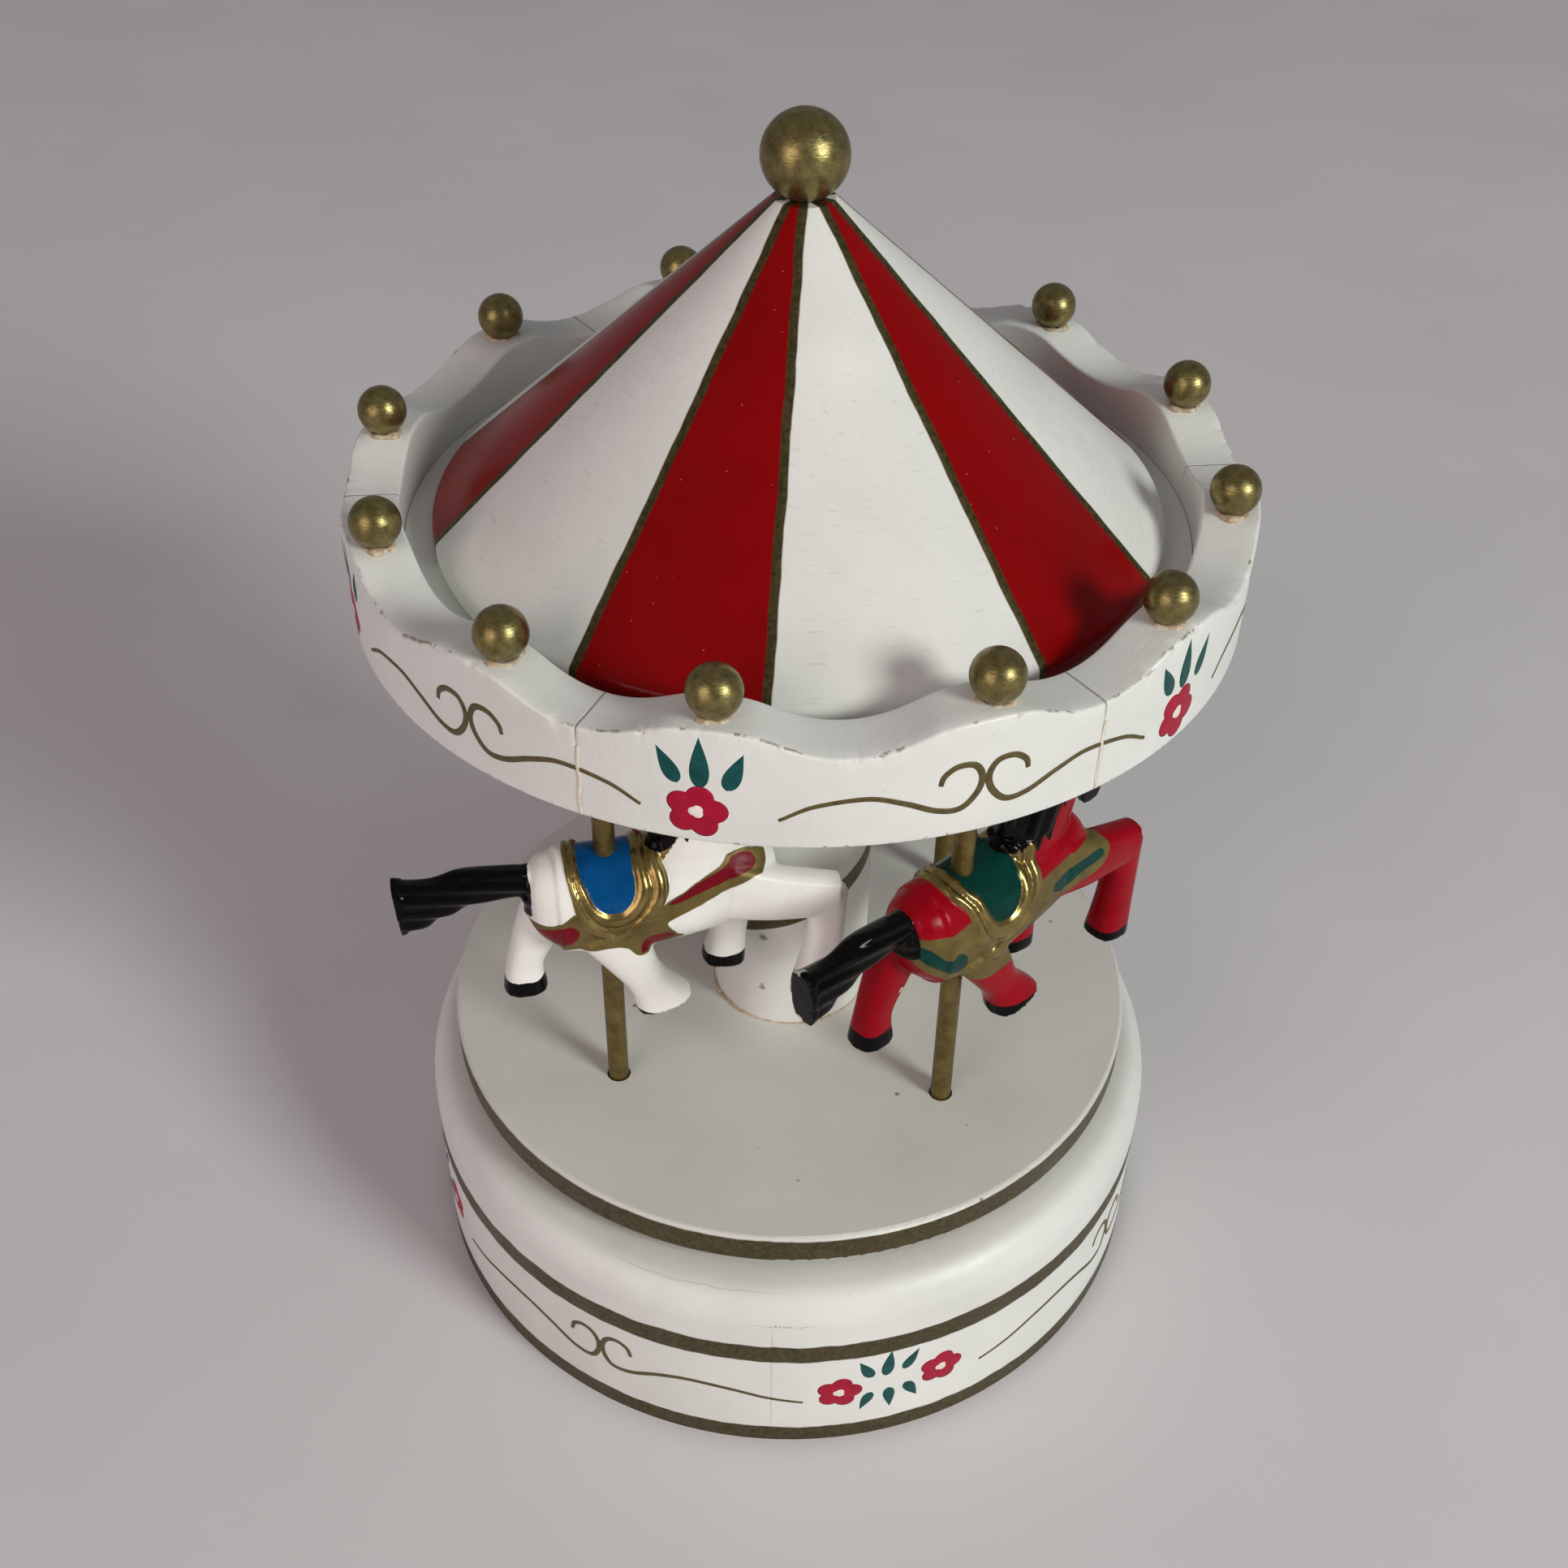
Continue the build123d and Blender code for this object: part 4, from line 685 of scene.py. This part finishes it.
# Horses: stations are forward, left, up, half width, half depth and lean above forward, from the saddle top
horseForms = {
    "body": ((-14, 0, -8, 2.4, 3, 0), (-11.5, 0, -8.8, 5.6, 7.2, 0), (-6, 0, -10.2, 7.4, 9.5, 0),
        (2, 0, -10.8, 7.7, 9.6, 0), (11, 0, -10, 7.5, 9.4, 0), (19, 0, -8.6, 6.9, 9.2, 0),
        (25, 0, -8.2, 5.4, 7.4, 0), (28.5, 0, -8.4, 2.6, 3.4, 0)),
    "leftHind": ((-8.5, 4, -12, 3.4, 5.2, -105), (-12, 4, -19.5, 3.3, 4, -110),
        (-14.6, 4, -26.5, 2.9, 3.2, -95), (-15, 4, -33, 3.5, 3.9, -90)),
    "rightHind": ((-1.2, -5.2, -13, 3.2, 5.2, -64), (2.6, -5.6, -19.6, 3.2, 4.2, -64),
        (5.2, -6.2, -24.6, 3, 3.5, -60), (8.1, -6.8, -29.4, 3.8, 5.0, -74)),
    "rightForearm": ((20, -3.8, -8.5, 3.2, 6.2, -5), (28, -4.2, -10.6, 3.2, 5.2, -8),
        (38.5, -4.6, -12.2, 2.8, 4, -8)),
    "rightShin": ((37.2, -4.6, -11, 2.6, 3.2, -90), (36.4, -4.8, -22.5, 2.8, 3.3, -94),
        (35, -5, -31.8, 3.4, 3.9, -98)),
    "leftFore": ((21, 4, -9, 3.2, 5.6, -90), (21.6, 4.2, -16.6, 3.1, 4.2, -92),
        (21.2, 4.4, -25, 2.8, 3.3, -95), (20.2, 4.4, -32.4, 3.4, 3.9, -97)),
    "neck": ((13, 0, -7, 5, 9, 70), (17, 0, 1.5, 4.6, 7.6, 68), (20.3, 0, 9.5, 4, 6.2, 66),
        (24, 0, 19.5, 2.4, 3.4, 58)),
    "head": ((19.8, 0, 20.8, 2.6, 3.6, -54), (24, 0, 16, 3.2, 4.4, -54), (28.6, 0, 9.7, 2.5, 3.2, -54),
        (33, 0, 3.6, 1.9, 2.2, -54)),
    "mane": ((9, -0.6, 2.5, 1.5, 2.4, 62), (14.4, -0.9, 12, 1.8, 2.6, 60),
        (19.5, -0.6, 21, 1.4, 2.2, 58)),
    "tail": ((-10.5, 0, -5.6, 2.6, 2.8, 176), (-15, 0, -4.6, 2.5, 2.7, 178),
        (-21, 0, -4.6, 2.5, 3.1, 184), (-27, 0, -6.0, 2.6, 3.6, 194), (-31, 0, -7.0, 2.8, 4.6, 192),
        (-34.7, 0, -7.4, 3.0, 5.7, 184)),
    "leftEar": ((20.2, 1.7, 21.5, 1, 1.1, 80), (20.6, 1.9, 26.5, 0.4, 0.4, 80)),
    "rightEar": ((20.2, -1.7, 21.5, 1, 1.1, 80), (20.6, -1.9, 26.5, 0.4, 0.4, 80)),
    "pommel": ((9, 0, -3, 2.8, 2.4, 80), (10.6, 0, 2.4, 1.6, 1.2, 80)),
    "saddle": ((-8.5, 0, -9.8, 7.4, 9.8, 0), (0, 0, -10.4, 8.0, 10.3, 0), (8.5, 0, -9.8, 8.0, 10.2, 0)),
}
squareness = {"body": 2.3, "leftHind": 2.6, "rightHind": 2.6, "rightForearm": 2.8, "rightShin": 2.8,
              "leftFore": 2.6, "tail": 2.6, "head": 2.4}
plainSquareness = 2.1
horseMesh = {"voxel": 0.33, "ease": 0.5, "rounds": 6}


def carvedForm(stations, power):
    # squared ellipses |cos|^(2 / p), |sin|^(2 / p) along a smooth line of stations, ends closed flat
    s = smoothPath(stations, 26)
    a = np.linspace(0, 2 * np.pi, 40, endpoint=False)
    c = np.sign(np.cos(a)) * np.abs(np.cos(a)) ** (2 / power)
    d = np.sign(np.sin(a)) * np.abs(np.sin(a)) ** (2 / power)
    lean = np.radians(s[:, 5])[:, None]
    forward = s[:, 0:1] - np.sin(lean) * s[:, 4:5] * d
    left = s[:, 1:2] + s[:, 3:4] * c
    up = s[:, 2:3] + np.cos(lean) * s[:, 4:5] * d
    return closedRings(np.stack([forward, left, up], -1))


def lineGap(points, path):
    # distance of each point from a bent line
    path = np.array(path, float)
    gap = np.full(len(points), np.inf)
    for start, step in zip(path[:-1], np.diff(path, axis=0)):
        t = np.clip((points - start) @ step / (step @ step), 0, 1)
        gap = np.minimum(gap, np.linalg.norm(points - start - t[:, None] * step, axis=1))
    return gap


def outlineGap(u, w, corners):
    # signed distance from a rounded outline drawn on the side view, below 0 inside
    path = smoothPath(corners + corners[:1], 5 * len(corners) + 1)
    gap = lineGap(np.stack([u, w], -1), path)
    inside = np.zeros(u.shape, bool)
    for (au, aw), (bu, bw) in zip(path[:-1], path[1:]):
        crosses = (aw > w) != (bw > w)
        with np.errstate(divide="ignore", invalid="ignore"):
            inside ^= crosses & (u < au + (w - aw) * (bu - au) / (bw - aw))
    return np.where(inside, -gap, gap)


farOff = 9.0  # a distance that leaves a colour out
# what is painted on a horse, as outlines on its side view: forward and up from the saddle top
whiteTack = {
    "cloth": ((-4.9, 3), (-4.8, -1), (-3.7, -3.8), (-2.5, -6.2), (-0.6, -7.6), (1.8, -7.5), (3.6, -5.6),
        (4.2, -3.3), (4.0, -1), (3.7, 3)),
    "edge": ((-7.3, 3), (-7.0, -1.2), (-6.3, -4.7), (-5.6, -8.1), (-3.9, -11.6), (-1.2, -13.2),
        (2.3, -13.4), (5.5, -11.4), (7.9, -8.4), (9.5, -5.6), (9.7, -3.1), (8.8, -0.9), (7.6, 3)),
    "band": ((-6.1, -7.4), (-9.9, -10.1), (-13.4, -10.8), (-13.4, -15.6), (-9, -17.2), (-4.2, -15.5),
        (-0.5, -14.8), (2.2, -15.3), (4.2, -17.3), (8, -17.4), (12, -16.3), (10.7, -14.6), (9.2, -11.8),
        (10.6, -10.6), (14.3, -8.9), (19, -6.5), (23.7, -4.8), (26, -4.4), (26.2, -2), (23.3, -0.8),
        (19.9, -0.6), (18.4, -2), (13.6, -4.7), (9.4, -7), (5, -9), (0, -10)),
    "patches": (((-13, -12.2), (-10, -11), (-7, -9.8), (-5.5, -11), (-6.2, -13.4), (-8.5, -15),
        (-11.4, -14.4)), ((4.4, -16), (6.2, -14.1), (9, -13.9), (10.4, -15.2), (7.6, -16.7),
        (4.8, -17.1)), ((9.1, -7.7), (13.7, -4.9), (19.2, -2.3), (20.6, -1), (23.4, -1.4), (24.4, -2.4),
        (23.9, -3.6), (21, -4.1), (14.5, -6.3), (10.7, -7.6))),
    "nearHoof": 29.6, "maneLift": 3.4, "chips": (), "wornTail": farOff,
}
redTack = {
    "cloth": ((-3.4, 3), (-2.6, -0.6), (-1.0, -2.2), (-0.3, -4.8), (1.1, -7.2), (3.4, -7.9),
        (5.4, -7.2), (7, -5.3), (7.9, -2.6), (7.4, 3)),
    "edge": ((-7.2, 3), (-6.3, -0.8), (-4.6, -2.8), (-3.7, -6.1), (-2.9, -11.1), (-0.4, -14.6),
        (3, -15.4), (7, -13.6), (10.4, -10), (12.3, -6.4), (12.6, -2.6), (11, 3)),
    "band": ((-4, -5), (-9, -5.6), (-13.4, -5.8), (-13.4, -10.5), (-10.6, -14), (-6.5, -17),
        (-2, -18.4), (4, -18), (9, -19.2), (13, -18), (13.4, -15.4), (17, -13.6), (22.8, -11.6),
        (28, -10.4), (29.4, -6), (24, -4.2), (17, -4.6), (11, -6), (4, -9)),
    "patches": (((-13.4, -6.8), (-11.9, -7.4), (-8.9, -10.6), (-7.1, -9.6), (-5.4, -11), (-4.9, -13.6),
        (-6.5, -14.8), (-10, -12.6), (-13, -9.6)), ((8.6, -15.4), (10.6, -13.6), (12.4, -14.6),
        (11.8, -17), (9.6, -18.2), (8, -17.4)), ((15.3, -9.7), (16.2, -7.6), (22.8, -6.6), (27.2, -6.6),
        (27.8, -8.3), (22.8, -9.2), (18.6, -10.8))),
    "nearHoof": 28.0, "maneLift": 0.0, "chips": ((-11.4, 1.2, -21.5),), "wornTail": 0.0,
}
blackPaths = {
    "tail": ((-13.2, 0, -4.8), (-21, 0, -4.6), (-27, 0, -6.0), (-31, 0, -7.0), (-38, 0, -7.6)),
    "mane": ((9, -0.6, 2.5), (14.4, -0.9, 12), (19.5, -0.6, 21)),
    "fringe": ((7, 6), (7.8, 1.4), (9.2, 2.6), (10.2, -0.4), (11.8, 1.8), (13.2, -0.9), (14.6, 1.6),
        (16, -0.2), (17.2, 3.4), (18.4, 6.4), (19.4, 5.6), (20.4, 12), (22.2, 17), (20, 22), (15, 18),
        (11, 11)),
}


def carveHorse():
    # the forms are joined by a voxel remesh, which gives quads, and eased
    forms = [carvedForm(rows, squareness.get(name, plainSquareness)) for name, rows in horseForms.items()]
    points, blocks = gather(forms)
    mesh = bpy.data.meshes.new("horseForms")
    mesh.from_pydata(points.tolist(), [], faceList(blocks))
    rough = addObject("horseForms", mesh)
    remesh = rough.modifiers.new("join", "REMESH")
    remesh.mode = "VOXEL"
    remesh.voxel_size = horseMesh["voxel"]
    ease = rough.modifiers.new("ease", "SMOOTH")
    ease.factor = horseMesh["ease"]
    ease.iterations = horseMesh["rounds"]
    done = rough.evaluated_get(bpy.context.evaluated_depsgraph_get())
    smooth = done.to_mesh()
    xyz, normal = np.zeros((2, len(smooth.vertices) * 3), np.float32)
    corner = np.zeros(len(smooth.loops), np.int32)
    smooth.vertices.foreach_get("co", xyz)
    smooth.vertices.foreach_get("normal", normal)
    smooth.loops.foreach_get("vertex_index", corner)
    done.to_mesh_clear()
    bpy.data.objects.remove(rough)
    return xyz.reshape(-1, 3).astype(float), normal.reshape(-1, 3).astype(float), corner.reshape(-1, 4)


carving = {"barrelTop": 1.6, "barrelHalf": 9.5, "ridge": 0.75, "ridgeFoot": -16.5, "ridgeFade": 2.5,
           "pommel": (10.2, 0.6), "pommelTall": 2.2, "pommelRadius": 2.6,
           "tailRadius": 6.2, "tailStart": -12.8, "tailEnd": -33.5, "groove": 0.22,
           "tailMiddle": -7.4, "tailHalf": (3.0, 5.7), "wornEnd": -33.6, "chipRadius": 0.45,
           "lock": 0.5, "maneRadius": 3.3, "farHoof": 29.6, "eye": (23.6, 16.6), "eyeRadius": 0.9}


def dressHorse(xyz, normal, tack):
    # two half-round ridges between cloth and edge, grooves in the tail and locks in the mane, raised along
    # the normals; then each colour's distance from its outline, below 0 inside
    u, v, w = xyz.T
    cut = carving
    cloth = outlineGap(u, w, tack["cloth"])
    edge = outlineGap(u, w, tack["edge"])
    onBarrel = (w < cut["barrelTop"]) & (np.abs(v) < cut["barrelHalf"])
    fromCloth = np.clip(cloth, 0, None)
    t = fromCloth / (fromCloth + np.clip(-edge, 0, None) + 1e-6)
    ridge = cut["ridge"] * np.abs(np.sin(2 * np.pi * t)) ** 0.8 * ((cloth > 0) & (edge < 0) & onBarrel)
    ridge = ridge * np.clip((w - cut["ridgeFoot"]) / cut["ridgeFade"], 0, 1)
    forward, up = cut["pommel"]
    pommel = np.hypot(u - forward, np.maximum(np.abs(w - up) - cut["pommelTall"], 0)) - cut["pommelRadius"]
    pommel = np.where((np.abs(v) < 3.4) & (w > -2), pommel, farOff)
    brass = np.minimum(np.where(onBarrel, edge, farOff), pommel)
    band = np.where(w > 3, farOff, outlineGap(u, w, tack["band"]))
    band = np.where((np.abs(v) < 2.5) & (w < -12), farOff, band)
    accent = np.min([outlineGap(u, w, patch) for patch in tack["patches"]], axis=0)
    tail = np.maximum(lineGap(xyz, blackPaths["tail"]) - cut["tailRadius"], u - cut["tailStart"])
    grooves = np.sin(2.3 * w + 1.1 * v + 0.3 * u) * (u > cut["tailEnd"])
    ridge = ridge + cut["groove"] * np.clip(-tail, 0, 1) * grooves
    fringe = np.where(v < -0.4, outlineGap(u, w - tack["maneLift"], blackPaths["fringe"]), farOff)
    ridge = ridge + cut["lock"] * np.clip(-fringe, 0, 1) * (0.55 + 0.45 * np.sin(2.4 * u - 1.1 * w))
    mane = np.minimum(lineGap(xyz, blackPaths["mane"]) - cut["maneRadius"], fringe)
    hoof = w + np.where((u > 0) & (u < 16) & (v < -2), tack["nearHoof"], cut["farHoof"])
    forward, up = cut["eye"]
    eye = np.where(np.abs(v) > 1.5, np.hypot(u - forward, w - up) - cut["eyeRadius"], farOff)
    black = np.min([tail, mane, hoof, eye], axis=0)
    cloth = np.where(onBarrel & (w > -9), cloth, farOff)
    # bare patches: the left edge of the tail's end, and small round chips
    halfWidth, halfDepth = cut["tailHalf"]
    rim = np.maximum(np.abs(v) / halfWidth, np.abs(w - cut["tailMiddle"]) / halfDepth)
    worn = np.max([u - cut["wornEnd"], 4 * (0.84 - rim), 0.2 - v], axis=0) + tack["wornTail"]
    chips = [np.linalg.norm(xyz - middle, axis=1) - cut["chipRadius"] for middle in tack["chips"]]
    chip = np.min([worn, *chips], axis=0)
    gaps = {"band": band, "accent": accent, "brass": brass, "cloth": cloth, "black": black, "chip": chip}
    return xyz + normal * ridge[:, None], gaps


def carvedPaint(name, coatTones, clothTones, accentTones):
    # hand-painted moulding: gloss coat, dull bronze harness, bright brass ridges, coloured patches, black
    # tail and hooves, bare chips
    material, tree, shader, spot = startMaterial(name)
    colour = mottled(tree, spot, *coatTones, 9.0)
    shine, rough = 0.0, 0.26
    # each layer's attribute, two tones, unsteadiness of its edge in millimetres, metallic and roughness
    layers = (("band", ("#615430", "#78693C"), 0.12, 0.35, 0.42),
              ("accent", accentTones, 0.1, 0.0, 0.34),
              ("brass", ("#77653A", "#A08C58"), 0.08, 0.95, 0.26),
              ("cloth", clothTones, 0.08, 0.0, 0.2),
              ("black", ("#040404", "#090808"), 0.25, 0.0, 0.16),
              ("chip", ("#B9B3AA", "#D6D2CA"), 0.5, 0.0, 0.5))
    for layer, tones, reach, metal, dull in layers:
        gap = addNode(tree, "Attribute", {}, 2, attribute_name=layer)
        gap = wavering(tree, spot, gap, reach, 2.6)
        mask = addNode(tree, "MapRange", {0: gap, 1: 0.08, 2: -0.08})
        tone = mottled(tree, spot, *tones, 4.0)
        colour = addNode(tree, "Mix", {0: mask, 6: colour, 7: tone}, 2, data_type="RGBA")
        shine = addNode(tree, "Mix", {0: mask, 2: shine, 3: metal})
        rough = addNode(tree, "Mix", {0: mask, 2: rough, 3: dull})
    grain = addNode(tree, "TexNoise", {"Vector": spot, "Scale": 0.5, "Detail": 2.0})
    bump = addNode(tree, "Bump", {"Strength": 0.2, "Distance": 0.3 * mm, "Height": grain})
    wire(tree, shader, {"Base Color": colour, "Metallic": shine, "Roughness": rough, "Normal": bump,
                        "Specular IOR Level": 0.11})
    return material


whitePaint = carvedPaint("Gloss white enamel on a moulded horse", ("#E2E0DA", "#EDECE7"),
                         ("#003E6E", "#064D86"), ("#620614", "#760C1D"))
redPaint = carvedPaint("Gloss red enamel on a moulded horse", ("#86000F", "#980218"),
                       ("#022D27", "#053B34"), ("#032F2A", "#064037"))
horseGrow = 1.035  # from the stations to the horse's length
horseXyz, horseNormal, horseQuads = carveHorse()
dressed = {"white_horse": (*dressHorse(horseXyz, horseNormal, whiteTack), whitePaint),
           "red_horse": (*dressHorse(horseXyz, horseNormal, redTack), redPaint)}
# a horse whose upper limit is the largest stands along the line of travel, the others are turned by the rest
turnLimit = max(joint["range_deg"][1] for joint in frame["joints"] if "range_deg" in joint)
for number in range(1, 5):
    low, high = span(f"pole_{number}")
    joint = next(j for j in frame["joints"] if j["child"] == f"rider_{number}")
    slot = next(p["material_slot"] for p in frame["record"]["subparts"] if p["node"] == f"horse_{number}")
    points, gaps, paint = dressed[slot]
    px, py = (low[0] + high[0]) / 2, (low[1] + high[1]) / 2
    heading = np.arctan2(px, -py) + np.radians(turnLimit - joint["range_deg"][1])
    c, s = np.cos(heading), np.sin(heading)
    x, y, z = points.T * horseGrow
    placed = np.stack([px + c * x - s * y, py + s * x + c * y, joint["pos_m"][2] / mm + z], -1)
    horse = meshFrom(f"paintedHorse{number}", placed, [horseQuads], paint)
    for layer, gap in gaps.items():
        horse.data.attributes.new(layer, "FLOAT", "POINT").data.foreach_set("value", gap.astype(np.float32))
    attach(horse, f"rider_{number}")
    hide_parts(f"horse_{number}")
    coat(f"horse_{number}", paint)
print("horses", len(horseXyz), "points each")


# Stage: pale floor, soft key from the front right, wide fill from the front left

stageSet = {"half": 4.0, "paper": ("#DAD6D8", "#E0DCDE"), "world": "#F0ECEE", "worldStrength": 0.25}
floorMaterial, floorTree, floorShader, floorSpot = startMaterial("Matt paper sweep")
floorNoise = addNode(floorTree, "TexNoise", {"Vector": floorSpot, "Scale": 9.0 * mm, "Detail": 3.0})
floorShare = addNode(floorTree, "MapRange", {0: floorNoise, 1: 0.3, 2: 0.7})
dark, light = [linear(code) for code in stageSet["paper"]]
floorColour = addNode(floorTree, "Mix", {0: floorShare, 6: dark, 7: light}, 2, data_type="RGBA")
wire(floorTree, floorShader, {"Base Color": floorColour, "Roughness": 0.85})
floorMesh = bpy.data.meshes.new("floor")
floorCorners = np.array([(-1, -1, 0), (1, -1, 0), (1, 1, 0), (-1, 1, 0)]) * stageSet["half"]
floorMesh.from_pydata(floorCorners.tolist(), [], [(0, 1, 2, 3)])
floorMesh.materials.append(floorMaterial)
floor = addObject("floor", floorMesh)

world = bpy.data.worlds.new("studio")
world.use_nodes = True
bpy.context.scene.world = world
wire(world.node_tree, world.node_tree.nodes["Background"],
     {"Color": linear(stageSet["world"]), "Strength": stageSet["worldStrength"]})


def pointAt(spot, target, roll=0.0):
    # a placing matrix that looks from a spot at a target, turned by roll about the view
    spot, target = np.array(spot, float), np.array(target, float)
    look = (target - spot) / np.linalg.norm(target - spot)
    right = np.cross(look, (0, 0, 1.0))
    right = right / np.linalg.norm(right)
    up = np.cross(right, look)
    right, up = np.cos(roll) * right + np.sin(roll) * up, np.cos(roll) * up - np.sin(roll) * right
    matrix = np.eye(4)
    matrix[:3, 0], matrix[:3, 1], matrix[:3, 2], matrix[:3, 3] = right, up, -look, spot * mm
    return Matrix(matrix.tolist())


# name, place and size in millimetres, watts, tint
lamps = (("key", (1430, -1250, 1050), 650, 29.0, "#FAFFFA"),
         ("fill", (-1300, -1700, 900), 1600, 16.0, "#FFE6E6"))
lampAim = (0, 0, 100)
for name, spot, size, power, tint in lamps:
    lamp = bpy.data.lights.new(name, "AREA")
    lamp.shape = "DISK"
    lamp.size = size * mm
    lamp.energy = power
    lamp.color = linear(tint)[:3]
    light = addObject(name, lamp)
    light.matrix_world = pointAt(spot, lampAim)

view = {"eye": (-1.72, -267.40, 319.68), "aim": (-1.72, 0.0, 100.92), "roll": 0.015, "lens": 42.857,
        "sensor": 36.0, "near": 0.01}
camera = bpy.data.cameras.new("camera")
camera.sensor_width = view["sensor"]
camera.lens = view["lens"]
camera.clip_start = view["near"]
viewer = addObject("camera", camera)
viewer.matrix_world = pointAt(view["eye"], view["aim"], view["roll"])
bpy.context.scene.camera = viewer
bpy.context.scene.view_settings.view_transform = "Standard"
print("stage and camera")
